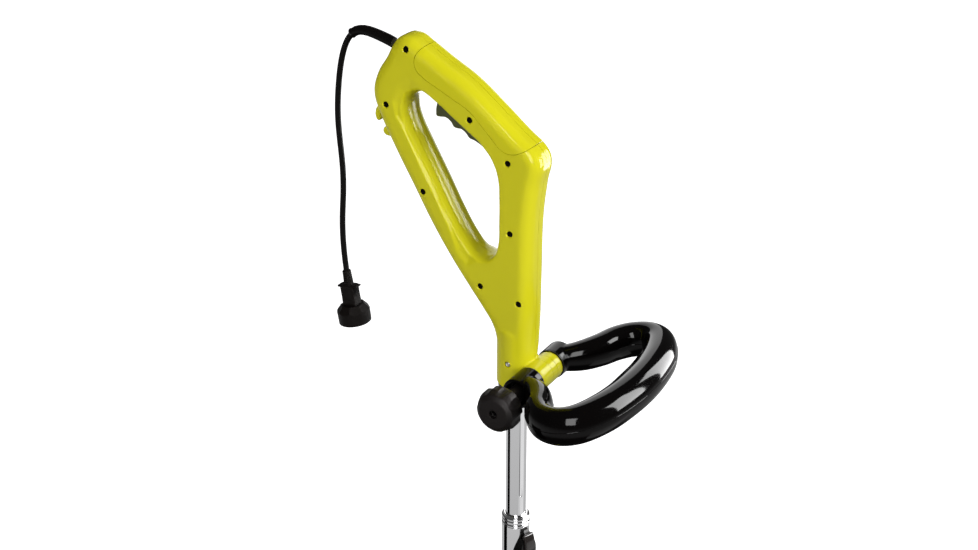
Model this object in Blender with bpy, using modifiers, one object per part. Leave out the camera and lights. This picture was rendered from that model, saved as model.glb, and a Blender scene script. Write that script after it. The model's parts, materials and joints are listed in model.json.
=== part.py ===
"""String trimmer with a corded D-handle, a tilting loop handle, a telescoping shaft and a motor head.

Frame: metres, +Z up along the shaft, +X towards the loop handle, the moulding seam at y = 0.
The origin is on the shaft axis, level with the loop handle's pivot. Every size below is in millimetres.
"""
import math

import bmesh
import bpy
from mathutils import Matrix, Vector

MM = 0.001                      # millimetres to metres
GAP = 0.3                       # clearance between solids that touch on the real trimmer
BIG = 400.0                     # reach of a cutter that has to pass everything

# Handle casing
BODY_HALF = 19.5                # half width of the D-handle
BODY_EDGE = 9.5                 # radius along its long edges
WALL = 2.6                      # casing wall
SLEEVE_R = 21.5                 # round socket round the tube
SLEEVE_BOTTOM = -19.0
SOCKET_TOP = 78.0               # solid part of the casing that holds the tube
SCREW_POST_R = 5.2
SCREW_HOLE_R = 3.2
SCREW_R = 1.6
SCREW_SEAT = -9.0               # y of the step that a screw head sits on
SCREW_SPOTS = ((-120, 334), (-146, 271), (-46, 274), (-2, 237), (-103, 184),
               (1, 161), (-34, 93), (11.5, 84))
TUBE_SCREW = (0.3, 10.6)        # x and z of the short screw that holds the tube in its socket
TUBE_SCREW_SEAT = -18.0

# Loop handle and its pivot
PIVOT_X, PIVOT_Z = 29.0, -1.0
PIVOT_R = 15.5
PIVOT_HALF = 20.5               # half length of the casing's pivot boss
WASHER_T = 1.5
HUB_R = 16.6
HUB_OUT = 52.0                  # outer end of a hub
HUB_CUP_R = 12.6                # recess in a hub's outer end
BOLT_R = 3.8
LOOP_TILT = 10.0                # degrees above square to the shaft
LOOP_WALL = 3.5
KNOB_R = 23.5
KNOB_LOBES = 8

# Shaft
UPPER_R, LOWER_R = 11.3, 15.6
TUBE_WALL = 1.2
UPPER_TOP, UPPER_BOTTOM = 70.0, -470.0
COLLAR_TOP, LOWER_TOP = -187.0, -200.3
LOWER_BOTTOM = -640.0

# Motor head, in its own frame: origin on the tilt pin, -Z along the motor shaft
TILT_Z = -690.0
TILT_REST = 35.0                # degrees between the shaft and the motor axis
LUG_R, LUG_HALF = 15.0, 15.4
CHEEK_R, CHEEK_OUT = 18.0, 21.5
HOUSING = ((15, -20), (30, -26), (38, -40), (45, -66), (48.5, -96), (49, -124), (47, -147))
LINE_Z = -181.0
LINE_REACH = 148.0
GUARD_R = 166.0
GUARD_SPREAD = 72.0             # degrees either side of the user's direction
GUIDE_PIVOT = (14.0, -134.0)    # x and z of the edge guide's pivot

CORD_D = 6.5
CORD_ROUTE = ((-153, 333), (-165, 336), (-177.5, 338.8), (-189, 339.2), (-198.3, 334.6), (-205.3, 325),
              (-210.8, 311.5), (-215, 296), (-217.8, 279.5), (-220.1, 262), (-221.4, 244), (-221.2, 224),
              (-219.7, 204), (-218.2, 184), (-218, 164), (-219.2, 144), (-221.2, 124), (-222.1, 105),
              (-221.9, 88), (-220.9, 70.5), (-219.2, 55))
PLUG_TILT = 8.7                # degrees that the plug hangs off plumb


# ---------------------------------------------------------------- helpers
def clear_scene():
    """Remove everything that the file holds, so that a second run gives the same result."""
    for ob in list(bpy.data.objects):
        bpy.data.objects.remove(ob, do_unlink=True)
    for group in list(bpy.data.collections):
        bpy.data.collections.remove(group)


def new_collection(name):
    group = bpy.data.collections.new(name)
    bpy.context.scene.collection.children.link(group)
    return group


def material(name, color, rough, metal=0.0):
    mat = bpy.data.materials.new(name)
    mat.use_nodes = True
    bsdf = mat.node_tree.nodes["Principled BSDF"]
    bsdf.inputs["Base Color"].default_value = (*color, 1.0)
    bsdf.inputs["Roughness"].default_value = rough
    bsdf.inputs["Metallic"].default_value = metal
    return mat


def place(ob, mat=None, parent=None, at=(0, 0, 0), turn=(0, 0, 0)):
    """Link an object as a part (with a material) or as a cutter, at a place in millimetres."""
    ob.location = [v * MM for v in at]
    ob.rotation_euler = [math.radians(v) for v in turn]
    if mat is None:
        CUTTERS.objects.link(ob)
        ob.hide_render = True
        ob.display_type = "WIRE"
    else:
        PARTS.objects.link(ob)
        ob.data.materials.clear()
        ob.data.materials.append(mat)
    if parent is not None:
        ob.parent = parent
    return ob


def from_bmesh(name, bm, mat=None, smooth=40, **where):
    bmesh.ops.scale(bm, vec=(MM, MM, MM), verts=bm.verts)
    mesh = bpy.data.meshes.new(name)
    bm.to_mesh(mesh)
    bm.free()
    if smooth:
        mesh.shade_smooth()
        mesh.set_sharp_from_angle(angle=math.radians(smooth))
    return place(bpy.data.objects.new(name, mesh), mat, **where)


def modifier(ob, kind, **values):
    mod = ob.modifiers.new(kind.title(), kind)
    for key, value in values.items():
        setattr(mod, key, value)
    return mod


def cut(ob, *cutters):
    for cutter in cutters:
        modifier(ob, "BOOLEAN", operation="DIFFERENCE", object=cutter)
    return ob


def join(ob, *others):
    for other in others:
        modifier(ob, "BOOLEAN", operation="UNION", object=other)
    return ob


def keep(ob, *others):
    for other in others:
        modifier(ob, "BOOLEAN", operation="INTERSECT", object=other)
    return ob


def turned(name, profile, mat=None, steps=32, **where):
    """A turned solid about local Z from (radius, height) points that run down the outer side."""
    bm = bmesh.new()
    verts = [bm.verts.new((r, 0, z)) for r, z in profile]
    for a, b in zip(verts, verts[1:]):
        bm.edges.new((a, b))
    if profile[0][0] > 0:
        bm.edges.new((verts[-1], verts[0]))
    ob = from_bmesh(name, bm, mat, smooth=0, **where)
    modifier(ob, "SCREW", angle=math.tau, screw_offset=0, steps=steps, render_steps=steps,
             use_merge_vertices=True, merge_threshold=0.00001, use_smooth_shade=True)
    return ob


def rod(name, radius, low, high, mat=None, steps=24, **where):
    """A plain cylinder about local Z from low to high."""
    bm = bmesh.new()
    bmesh.ops.create_cone(bm, cap_ends=True, segments=steps, radius1=radius, radius2=radius,
                          depth=high - low, matrix=Matrix.Translation((0, 0, (low + high) / 2)))
    return from_bmesh(name, bm, mat, **where)


def ring(name, outer, inner, low, high, mat=None, steps=32, **where):
    return turned(name, ((outer, high), (outer, low), (inner, low), (inner, high)), mat, steps, **where)


def block(name, size, mat=None, edge=0.0, **where):
    bm = bmesh.new()
    bmesh.ops.create_cube(bm, size=1.0)
    bmesh.ops.scale(bm, vec=size, verts=bm.verts)
    ob = from_bmesh(name, bm, mat, **where)
    if edge:
        modifier(ob, "BEVEL", width=edge * MM, segments=2, limit_method="ANGLE")
    return ob


def curve_to_mesh(curve_ob):
    """Swap a curve object for the closed mesh that it draws."""
    bpy.context.view_layer.update()
    seen = curve_ob.evaluated_get(bpy.context.evaluated_depsgraph_get())
    mesh = bpy.data.meshes.new_from_object(seen)
    bm = bmesh.new()
    bm.from_mesh(mesh)
    bmesh.ops.remove_doubles(bm, verts=bm.verts, dist=0.01 * MM)
    bmesh.ops.recalc_face_normals(bm, faces=bm.faces)
    bm.to_mesh(mesh)
    bm.free()
    return mesh


def plate(name, outlines, half, edge=0.0, inset=0.0, mat=None, fine=2, smooth=True, rounds=1, **where):
    """A plate in the XZ plane, half to each side of it, with round long edges.

    Each outline is a closed run of (x, z) points; an outline inside another is a hole.
    """
    data = bpy.data.curves.new(name, "CURVE")
    data.dimensions = "2D"
    data.fill_mode = "BOTH"
    data.resolution_u = fine
    data.extrude = (half - edge) * MM
    data.bevel_depth = edge * MM
    data.bevel_resolution = rounds
    data.offset = -(edge + inset) * MM
    for outline in outlines:
        spline = data.splines.new("BEZIER" if smooth else "POLY")
        points = spline.bezier_points if smooth else spline.points
        points.add(len(outline) - 1)
        for point, (x, z) in zip(points, outline):
            point.co = (x * MM, z * MM, 0) if smooth else (x * MM, z * MM, 0, 1)
            if smooth:
                point.handle_left_type = point.handle_right_type = "AUTO"
        spline.use_cyclic_u = True
    curve_ob = bpy.data.objects.new(name, data)
    bpy.context.scene.collection.objects.link(curve_ob)
    mesh = curve_to_mesh(curve_ob)
    bpy.data.objects.remove(curve_ob)
    mesh.transform(Matrix.Rotation(math.radians(90), 4, "X"))
    mesh.shade_smooth()
    mesh.set_sharp_from_angle(angle=math.radians(35))
    return place(bpy.data.objects.new(name, mesh), mat, **where)


def wire(name, points, radius, mat, sides=3, closed=False, **where):
    """A round wire along a run of points."""
    data = bpy.data.curves.new(name, "CURVE")
    data.dimensions = "3D"
    data.bevel_depth = radius * MM
    data.bevel_resolution = sides
    data.use_fill_caps = True
    spline = data.splines.new("POLY")
    spline.points.add(len(points) - 1)
    for point, co in zip(spline.points, points):
        point.co = (co[0] * MM, co[1] * MM, co[2] * MM, 1)
    spline.use_cyclic_u = closed
    return place(bpy.data.objects.new(name, data), mat, **where)


def smooth_run(knots, step):
    """Points about a step apart on a Catmull-Rom curve through the knots."""
    knots = [Vector(k) for k in knots]
    ends = [2 * knots[0] - knots[1]] + knots + [2 * knots[-1] - knots[-2]]
    run = [knots[0]]
    for p0, p1, p2, p3 in zip(ends, ends[1:], ends[2:], ends[3:]):
        count = max(1, round((p2 - p1).length / step))
        for i in range(1, count + 1):
            t = i / count
            run.append(0.5 * (2 * p1 + (p2 - p0) * t + (2 * p0 - 5 * p1 + 4 * p2 - p3) * t * t
                              + (3 * p1 - p0 - 3 * p2 + p3) * t ** 3))
    return run


def loft(name, rings, mat=None, **where):
    """A closed solid through rings of equal point counts, capped at both ends."""
    bm = bmesh.new()
    loops = [[bm.verts.new(p) for p in points] for points in rings]
    count = len(loops[0])
    for a, b in zip(loops, loops[1:]):
        for i in range(count):
            j = (i + 1) % count
            bm.faces.new((a[i], a[j], b[j], b[i]))
    bm.faces.new(loops[0])
    bm.faces.new(loops[-1])
    bmesh.ops.recalc_face_normals(bm, faces=bm.faces)
    return from_bmesh(name, bm, mat, **where)


def coil(radius, low, high, turns, per_turn=10):
    count = int(turns * per_turn)
    return [(radius * math.cos(i * math.tau / per_turn), radius * math.sin(i * math.tau / per_turn),
             low + (high - low) * i / count) for i in range(count + 1)]


def empty(name, at, turn=(0, 0, 0), parent=None):
    ob = bpy.data.objects.new(name, None)
    ob.location = [v * MM for v in at]
    ob.rotation_euler = [math.radians(v) for v in turn]
    ob.parent = parent
    GUIDES.objects.link(ob)
    return ob


# ---------------------------------------------------------------- handle casing
CASING = ((-148, 321), (-160.5, 301), (-165.5, 279), (-157.5, 255.5), (-139.7, 221.3), (-118.6, 185.3),
          (-97.6, 149.3), (-73.4, 113.4), (-51, 84.4), (-34.5, 63.7), (-23.6, 48), (-18.6, 30), (-18, 8),
          (-14, -8), (0, -10), (14, -8), (18.6, 10), (21.3, 40), (22.8, 110), (24, 176), (28.2, 214), (32, 240),
          (25.8, 252), (7, 266), (-22.5, 289), (-51.5, 310), (-82, 326), (-105, 338.5), (-119, 345.3),
          (-132, 343.5), (-141.5, 333))
WINDOW = ((-112.5, 287), (-104.5, 289), (-88, 281.2), (-70, 269.5), (-51, 257.2), (-34, 246), (-21.5, 235),
          (-14.8, 219), (-13, 196), (-13, 172), (-14.3, 144), (-19.5, 130.7), (-30, 125.6), (-42.5, 129),
          (-53.8, 140.5), (-70, 165.5), (-87.5, 197.3), (-105.8, 229.2), (-118.8, 253.3), (-122.5, 267),
          (-120.8, 280))
PANEL = ((-88, 362), (-101, 341), (-108, 331), (-110, 322), (-107, 314), (-99, 308), (-84, 301),
         (-62, 291), (-47, 284), (-32, 271), (-18, 257.5), (-8, 249), (4, 248), (19, 255),
         (36, 270), (60, 300), (0, 360))
TRIGGER_PIVOT = (-28.0, 256.0)
TRIGGER = ((-92, 281), (-94, 269.5), (-92.3, 265.2), (-82, 265.2), (-75.6, 261), (-72.6, 257.4), (-64, 256.4),
           (-58.4, 252.8), (-53.6, 248.6), (-49, 247.6), (-38, 243), (-29, 246.6), (-22, 252), (-23, 259),
           (-29, 262), (-46, 264.5), (-60, 272), (-78, 283), (-88, 290))
TRIGGER_HALF = 6.6


def cavity():
    """The hollow of the casing, with the screw posts and the tube socket left standing."""
    hollow = plate("cavity_cutter", (CASING, WINDOW), BODY_HALF - WALL, BODY_EDGE - WALL, WALL, rounds=0)
    socket = block("socket_keep", (120, 120, 200), at=(0, 0, SOCKET_TOP - 100))
    posts = [rod(f"post_keep_{i}", SCREW_POST_R, -BIG / 10, BIG / 10, steps=10, at=(x, 0, z), turn=(90, 0, 0))
             for i, (x, z) in enumerate(SCREW_SPOTS)]
    return cut(hollow, socket, *posts)


def casing_cutters():
    """Cutters that both casing halves share."""
    tube = rod("tube_bore", UPPER_R + GAP, SLEEVE_BOTTOM - 20, SOCKET_TOP + 8, steps=32)
    bolt = rod("bolt_bore", BOLT_R + 0.6, -60, 60, at=(PIVOT_X, 0, PIVOT_Z), turn=(90, 0, 0))
    slot = block("trigger_slot", (78, 2 * TRIGGER_HALF + 1.6, 26), at=(-63.5, 0, 263.5), turn=(0, 32.5, 0))
    pin = rod("pin_bore", 2.3, -14, 14, at=(TRIGGER_PIVOT[0], 0, TRIGGER_PIVOT[1]), turn=(90, 0, 0))
    gland = rod("gland_bore", 6.1, -20, 12, at=(-143, 0, 331), turn=(0, -77, 0))
    hooks = block("retainer_slot", (14, 9.2, 24.6), at=(-157.6, 0, 247.5), turn=(0, -26, 0))
    shafts = [rod(f"screw_bore_{i}", SCREW_R + GAP, -BIG / 10, 13, steps=8, at=(x, 0, z), turn=(-90, 0, 0))
              for i, (x, z) in enumerate(SCREW_SPOTS)]
    heads = [rod(f"head_bore_{i}", SCREW_HOLE_R, -BIG / 10, SCREW_SEAT, steps=10, at=(x, 0, z), turn=(-90, 0, 0))
             for i, (x, z) in enumerate(SCREW_SPOTS)]
    x, z = TUBE_SCREW
    shafts.append(rod("tube_screw_bore", SCREW_R + GAP, -BIG / 10, -8, steps=8, at=(x, 0, z), turn=(-90, 0, 0)))
    heads.append(rod("tube_head_bore", SCREW_HOLE_R, -BIG / 10, TUBE_SCREW_SEAT, steps=10, at=(x, 0, z),
                     turn=(-90, 0, 0)))
    return [tube, bolt, slot, pin, gland, hooks, *shafts, *heads]


def casing_body(name, mat=None):
    """The whole outer form of the casing: D-frame, tube sleeve and pivot boss."""
    body = plate(name, (CASING, WINDOW), BODY_HALF, BODY_EDGE, mat=mat)
    sleeve = rod(name + "_sleeve", SLEEVE_R, SLEEVE_BOTTOM, 52, steps=32)
    boss = rod(name + "_boss", PIVOT_R, -PIVOT_HALF, PIVOT_HALF, steps=32,
               at=(PIVOT_X, 0, PIVOT_Z), turn=(90, 0, 0))
    web = block(name + "_web", (PIVOT_X - 8, 2 * PIVOT_HALF - 9, 24), at=(PIVOT_X - 12, 0, PIVOT_Z))
    return join(body, sleeve, boss, web)


def build_casing(hollow):
    cutters = casing_cutters()
    gap_panel = plate("panel_gap", (PANEL,), BIG / 10, inset=-GAP)
    panel_shape = plate("panel_shape", (PANEL,), BIG / 10)
    for side, word in ((-1, "right"), (1, "left")):
        half = block(f"half_{word}", (BIG * 2, 60, BIG * 2), at=(0, side * (30 + GAP / 2), 200))
        shell = casing_body(f"handle_shell_{word}", LIME[word])
        cut(shell, hollow, *cutters, gap_panel)
        keep(shell, half)
        panel = plate(f"grip_panel_{word}", (CASING, WINDOW), BODY_HALF, BODY_EDGE, mat=PANEL_MAT[word])
        cut(panel, hollow)
        keep(panel, half, panel_shape)


def build_screws():
    """Self-tapping screws, driven from the right shell into the left one."""
    for i, (x, z) in enumerate(SCREW_SPOTS, 1):
        turned(f"handle_screw_{i}", ((0, 2.8), (2.8, 2.8), (2.8, 0.3), (SCREW_R, 0.3), (SCREW_R, -20.0),
                                     (0, -20.0)), STEEL, 8, at=(x, SCREW_SEAT, z), turn=(90, 0, 0))
    x, z = TUBE_SCREW
    turned("handle_screw_9", ((0, 2.6), (2.8, 2.6), (2.8, 0.3), (SCREW_R, 0.3), (SCREW_R, -5.6), (0, -5.6)),
           STEEL, 8, at=(x, TUBE_SCREW_SEAT, z), turn=(90, 0, 0))


def build_trigger():
    x, z = TRIGGER_PIVOT
    outline = [(px - x, pz - z) for px, pz in TRIGGER]
    body = plate("trigger", (outline,), TRIGGER_HALF, 1.6, mat=DARK_GREEN, at=(x, 0, z))
    cut(body, rod("trigger_bore", 2.3, -20, 20, at=(x, 0, z), turn=(90, 0, 0)))
    rod("trigger_pin", 2.0, -13.6, 13.6, STEEL, 16, at=(x, 0, z), turn=(90, 0, 0))
    block("power_switch", (30, 11, 17), BLACK, 1.0, at=(-67, 0, 303), turn=(0, 30, 0))
    wire("trigger_spring", coil(2.6, 0.6, 10.5, 4, 8), 0.45, STEEL, 1, at=(-86, 0, 290.6))


def build_retainer():
    """Two hooks behind the casing that keep the extension lead from pulling the plug."""
    x, z = -157.6, 247.5
    base = block("cord_retainer", (7.5, 8.4, 24), LIME["hook"], 1.0, at=(x + 0.6, 0, z), turn=(0, -26, 0))
    upper = plate("upper_hook", (((0, 5), (-9, 3.5), (-12.5, 8.5), (-9.5, 12.5), (-8, 9), (-4, 9.5), (0, 9)),),
                  4.0, 1.0, at=(x - 1.5, 0, z + 1.5))
    lower = plate("lower_hook", (((1, -13), (-5, -14), (-9.2, -10), (-7.5, -5.5), (-2, -4.5), (2, -6)),),
                  4.0, 1.0, at=(x + 2.0, 0, z - 0.5))
    join(base, upper, lower)


# ---------------------------------------------------------------- cord and plug
def build_cord():
    start, second = (Vector((x, 0, z)) for x, z in CORD_ROUTE[:2])
    relief = empty("relief_frame", start, (0, -77, 0))
    turned("cord_strain_relief", ((5.2, 9.5), (5.6, 9.0), (5.8, -7.0), (3.6, -7.0), (3.6, 9.5)), CORD_BLACK, 16,
           parent=relief)
    route = smooth_run([(x, 0, z) for x, z in CORD_ROUTE], CORD_D * 2.2)
    wire("power_cord", route, CORD_D / 2, CORD_BLACK, 3)
    hang = empty("plug_frame", (CORD_ROUTE[-1][0], 0, CORD_ROUTE[-1][1]), (0, -PLUG_TILT, 0))
    turned("plug_boot", ((3.6, -GAP), (4.9, -GAP), (5.3, -16), (0, -16), (0, -1.2), (3.3, -1.2)), CORD_BLACK, 20,
           parent=hang)
    body = block("plug_body", (18, 13.4, 23), CORD_BLACK, 1.8, parent=hang, at=(0, 0, -27.8))
    join(body, block("plug_wing", (25.5, 9, 2.6), edge=0.8, parent=hang, at=(0, 0, -18.2)))
    skirt = turned("plug_skirt", ((0, -39.6), (14.5, -39.6), (18.6, -43.6), (18.4, -61.5), (16.0, -61.5),
                                  (15.6, -48.0), (0, -46.6)), CORD_BLACK, 24, parent=hang)
    for i, x in enumerate((-6.3, 6.3)):
        word = ("a", "b")[i]
        socket = block(f"blade_slot_{word}", (2.2, 7.0, 18), parent=hang, at=(x, 0, -48))
        cut(skirt, socket)
        block(f"plug_blade_{word}", (1.5, 6.3, 14.6), STEEL, parent=hang, at=(x, 0, -50.4))


# ---------------------------------------------------------------- loop handle
LOOP_HALF = ((0, 38, 12.0, 12.0, 13.5), (12, 41, 12.5, 12.5, 15.0), (25, 50.5, 13.5, 13.5, 16.7),
             (37, 67, 14.0, 14.0, 18.0), (46, 85, 14.0, 14.0, 19.0), (60, 98.5, 14.0, 14.0, 19.3),
             (79, 102, 14.5, 14.5, 19.7), (96, 91, 16.5, 16.5, 20.0), (108, 64, 18.5, 20.0, 20.3),
             (113.5, 33, 19.5, 24.0, 20.3), (115.5, 0, 20.0, 26.0, 20.3))


def loop_rings(inset=0.0, sides=16):
    """Sections along the loop: distance from the pivot, side step, outer and inner half width, half height."""
    stations = list(LOOP_HALF) + [(s, -y, *sizes) for s, y, *sizes in LOOP_HALF[-2::-1]]
    rings = []
    for i, (s, y, outer, inner, b) in enumerate(stations):
        before, after = stations[max(i - 1, 0)], stations[min(i + 1, len(stations) - 1)]
        along = Vector((after[0] - before[0], after[1] - before[1], 0)).normalized()
        across = Vector((-along.y, along.x, 0))
        points = []
        for t in (math.tau * k / sides for k in range(sides)):
            a = (outer if math.cos(t) > 0 else inner) - inset
            points.append(Vector((s, y, (b - inset) * math.sin(t))) + across * a * math.cos(t))
        rings.append(points)
    return rings


def build_loop_handle():
    pivot = empty("pivot_frame", (PIVOT_X, 0, PIVOT_Z), (0, -LOOP_TILT, 0))
    loop = loft("aux_handle_loop", loop_rings(), GLOSS_BLACK, parent=pivot)
    inner = PIVOT_HALF + WASHER_T + 2 * GAP
    for side, word in ((-1, "right"), (1, "left")):
        out = HUB_OUT if side < 0 else HUB_OUT - 6
        turn = (90, 0, 0) if side < 0 else (-90, 0, 0)
        join(loop, rod(f"hub_{word}", HUB_R, inner, out, steps=24, parent=pivot, turn=turn))
        cut(loop, rod(f"hub_face_{word}", HUB_R + 14, 0, inner, parent=pivot, turn=turn),
            rod(f"hub_cup_{word}", HUB_CUP_R, out - 12, out + 30, steps=20, parent=pivot, turn=turn))
        ring(f"pivot_washer_{word}", PIVOT_R + 0.9, BOLT_R + 0.6, inner - GAP - WASHER_T, inner - GAP,
             BLACK, 24, parent=pivot, turn=turn)
    cut(loop, loft("loop_hollow", loop_rings(LOOP_WALL, 10), parent=pivot))
    cut(loop, rod("loop_bolt_bore", BOLT_R + GAP, -90, 90, steps=20, parent=pivot, turn=(90, 0, 0)))
    head = HUB_OUT - 18
    turned("clamp_bolt", ((0, 84), (BOLT_R, 84), (BOLT_R, -head - GAP), (9, -head - GAP), (8.2, -head - 4.6),
                          (0, -head - 5.6)), STEEL, 20, parent=pivot, turn=(90, 0, 0))
    knob = turned("clamp_knob", ((4.3, 97.5), (17.5, 98), (20.5, 95.5), (KNOB_R, 90), (KNOB_R, 78), (19, 73.5),
                                 (10, 72), (8.6, 43), (4.3, 43)), KNOB_BLACK, 32, parent=pivot, turn=(90, 0, 0))
    for k in range(KNOB_LOBES):
        t = math.tau * (k + 0.5) / KNOB_LOBES
        cut(knob, rod(f"knob_scoop_{k}", 6.0, -110, -60, steps=12, parent=pivot, turn=(-90, 0, 0),
                      at=((KNOB_R + 3.4) * math.cos(t), 0, (KNOB_R + 3.4) * math.sin(t))))


# ---------------------------------------------------------------- shaft
LOCK_TURN = -20.0               # degrees that the lock is turned about the shaft, away from the loop handle
LEVER_PIVOT = (21.5, -252.0)    # before that turn


def build_shaft():
    ring("upper_tube", UPPER_R, UPPER_R - TUBE_WALL, UPPER_BOTTOM, UPPER_TOP, CHROME, 28)
    ring("tube_seal_ring", 20.0, UPPER_R + GAP, SLEEVE_BOTTOM - 4.5, SLEEVE_BOTTOM - GAP, BLACK, 28)
    lower = ring("lower_tube", LOWER_R, LOWER_R - TUBE_WALL, LOWER_BOTTOM, LOWER_TOP, CHROME, 28)
    lock = empty("lock_frame", (0, 0, 0), (0, 0, LOCK_TURN))
    shoe_slot = block("shoe_slot", (12, 11.2, 22.6), parent=lock, at=(16, 0, -228))
    cut(lower, shoe_slot)
    bore = UPPER_R + GAP
    turned("tube_collar", ((bore, COLLAR_TOP), (13.4, COLLAR_TOP), (13.8, -189), (15.4, -190), (15.4, -192),
                           (14.2, -193), (15.2, -194), (15.2, -196.5), (14.4, -197.2), (15.6, -198.2),
                           (15.6, -200), (bore, -200)), CHROME, 24)
    bush = ring("tube_bush", LOWER_R - TUBE_WALL - GAP, bore, -290, LOWER_TOP - GAP, BLACK, 32)
    cut(bush, shoe_slot)


def build_lock():
    x, z = LEVER_PIVOT
    lock = {"parent": empty("lock_parts_frame", (0, 0, 0), (0, 0, LOCK_TURN))}
    housing = plate("lock_housing", (((8, -203.5), (16, -204), (20, -209), (22, -222), (23.5, -240), (24, -254),
                                      (22, -262), (15, -266), (8, -266)),), 11.0, 3.0, mat=BLACK, **lock)
    clear = rod("lock_tube_clear", LOWER_R + GAP, -290, -190, steps=40)
    slot = block("lever_slot", (19.2, 14.0, 54), at=(26.7, 0, -235), **lock)
    pocket = block("shoe_pocket", (14, 11.2, 22.6), at=(15, 0, -228), **lock)
    bore = rod("lever_pin_bore", 1.9, -14, 14, at=(x, 0, z), turn=(90, 0, 0), **lock)
    cut(housing, clear, slot, pocket, bore)
    lever = plate("lock_lever", (((-1.3, 45), (0.9, 45.5), (3.6, 41), (5.4, 32), (4.6, 22), (3.0, 12), (3.4, 3),
                                  (3.2, -2.8), (0.5, -4.8), (-3.0, -2.4), (-3.0, 4), (-1.6, 14)),), 6.6, 1.2,
                  mat=DARK_GREY, fine=3, at=(x, 0, z), **lock)
    cut(lever, rod("lever_bore", 1.9, -20, 20, at=(x, 0, z), turn=(90, 0, 0), **lock))
    rod("lock_lever_pin", 1.6, -10.4, 10.4, STEEL, 14, at=(x, 0, z), turn=(90, 0, 0), **lock)
    shoe = block("clamp_shoe", (6.6, 10.4, 21.8), RUBBER, 0.6, at=(14.6, 0, -228), **lock)
    cut(shoe, rod("shoe_face", UPPER_R + GAP + 0.1, -290, -190, steps=40))


# ---------------------------------------------------------------- motor head
def build_neck():
    sleeve = ring("head_neck", 20.5, LOWER_R + GAP, -664, -596, BLACK, 28)
    neck_floor = rod("neck_floor", 20.0, -670, -660, steps=28)
    cheeks = plate("neck_cheeks", (((-18, 30), (-CHEEK_R, 0), (-CHEEK_R * 0.7, -CHEEK_R * 0.7), (0, -CHEEK_R),
                                    (CHEEK_R * 0.7, -CHEEK_R * 0.7), (CHEEK_R, 0), (18, 30)),), CHEEK_OUT, 2.0,
                   at=(0, 0, TILT_Z))
    join(sleeve, neck_floor, cheeks)
    gapbox = block("fork_gap", (80, 2 * (LUG_HALF + GAP), 60), at=(0, 0, TILT_Z + 17 - 30))
    pin = rod("tilt_bore", 4.3, -60, 60, at=(0, 0, TILT_Z), turn=(90, 0, 0))
    cup = rod("button_cup", 8.0, 18.5, 40, at=(0, 0, TILT_Z), turn=(90, 0, 0))
    drain = rod("wire_way", 6.0, -680, -640, steps=20)
    cut(sleeve, gapbox, pin, cup, drain)
    rod("tilt_pin", 4.0, -17.8, 21.3, STEEL, 20, at=(0, 0, TILT_Z), turn=(-90, 0, 0))
    turned("tilt_button", ((0, 27.5), (6.2, 27.2), (7.4, 26), (7.4, 22.0), (0, 22.0)), DARK_GREY, 20,
           at=(0, 0, TILT_Z), turn=(90, 0, 0))


def housing_form(name, mat=None, shrink=0.0, parent=None):
    """The turned form of the motor housing; shrunk and lowered, it is the hollow, open at the bottom."""
    points = [(r - shrink, z - shrink) for r, z in HOUSING]
    return turned(name, [(0, points[0][1])] + points + [(0, points[-1][1])], mat, 32, parent=parent)


def build_housing(head):
    hollow = housing_form("housing_hollow", shrink=WALL, parent=head)
    top_seat = rod("top_seat_bore", 11.3, -52, -24, steps=20, parent=head)
    pin = rod("lug_bore", 4.3, -60, 60, parent=head, turn=(90, 0, 0))
    vents = []
    for k in range(6):
        t = 360 * (k + 0.5) / 6
        vents.append(block(f"vent_{k}", (26, 5.0, 24), parent=head, turn=(0, 0, t),
                           at=(46 * math.cos(math.radians(t)), 46 * math.sin(math.radians(t)), -66)))
    for side, word in ((-1, "right"), (1, "left")):
        shell = housing_form(f"motor_housing_{word}", LIME["motor_" + word], parent=head)
        join(shell, rod(f"lug_{word}", LUG_R, -LUG_HALF, LUG_HALF, steps=32, parent=head, turn=(90, 0, 0)),
             block(f"lug_web_{word}", (22, 2 * LUG_HALF - 2, 20), parent=head, at=(0, 0, -14)))
        seat = rod(f"bearing_post_{word}", 14.5, -44, -12, steps=20, parent=head)
        cut(shell, cut_keep(hollow, seat, word), top_seat, pin, *vents)
        keep(shell, block(f"head_half_{word}", (300, 150, 400), parent=head, at=(0, side * (75 + GAP / 2), -80)))


def cut_keep(hollow, post, word):
    """A copy of a hollow cutter that leaves a post standing."""
    copy = hollow.copy()
    copy.name = f"{hollow.name}_{word}"
    CUTTERS.objects.link(copy)
    return cut(copy, post)


def build_motor(head):
    ring("motor_stator", 31, 22, -104, -52, STEEL, 32, parent=head)
    turned("armature", ((0, -37), (4, -37), (4, -46), (9.5, -46), (9.5, -50), (21.3, -53), (21.3, -103),
                        (8, -105), (4, -107), (4, -158), (0, -158)), COPPER, 28, parent=head)
    ring("upper_bearing", 11, 4.3, -43, -36.5, STEEL, 20, parent=head)
    ring("lower_bearing", 11, 4.3, -131, -124, STEEL, 20, parent=head)
    fan = rod("cooling_fan", 33, -120, -118, BLACK, 24, parent=head)
    join(fan, rod("fan_hub", 8, -119, -109, steps=20, parent=head))
    for k in range(8):
        t = 360 * k / 8
        join(fan, block(f"fan_blade_{k}", (26, 1.6, 8), parent=head, turn=(0, 0, t),
                        at=(19 * math.cos(math.radians(t)), 19 * math.sin(math.radians(t)), -115.0)))
    cut(fan, rod("fan_bore", 4.3, -130, -100, steps=20, parent=head))
    turned("motor_end_plate", ((11.3, -123.5), (14.5, -123.5), (14.5, -143), (43.6, -143), (43.6, -147.3),
                               (46.5, -147.3), (46.5, -150), (6, -150), (6, -132), (11.3, -132)), BLACK, 28,
           parent=head)


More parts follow.
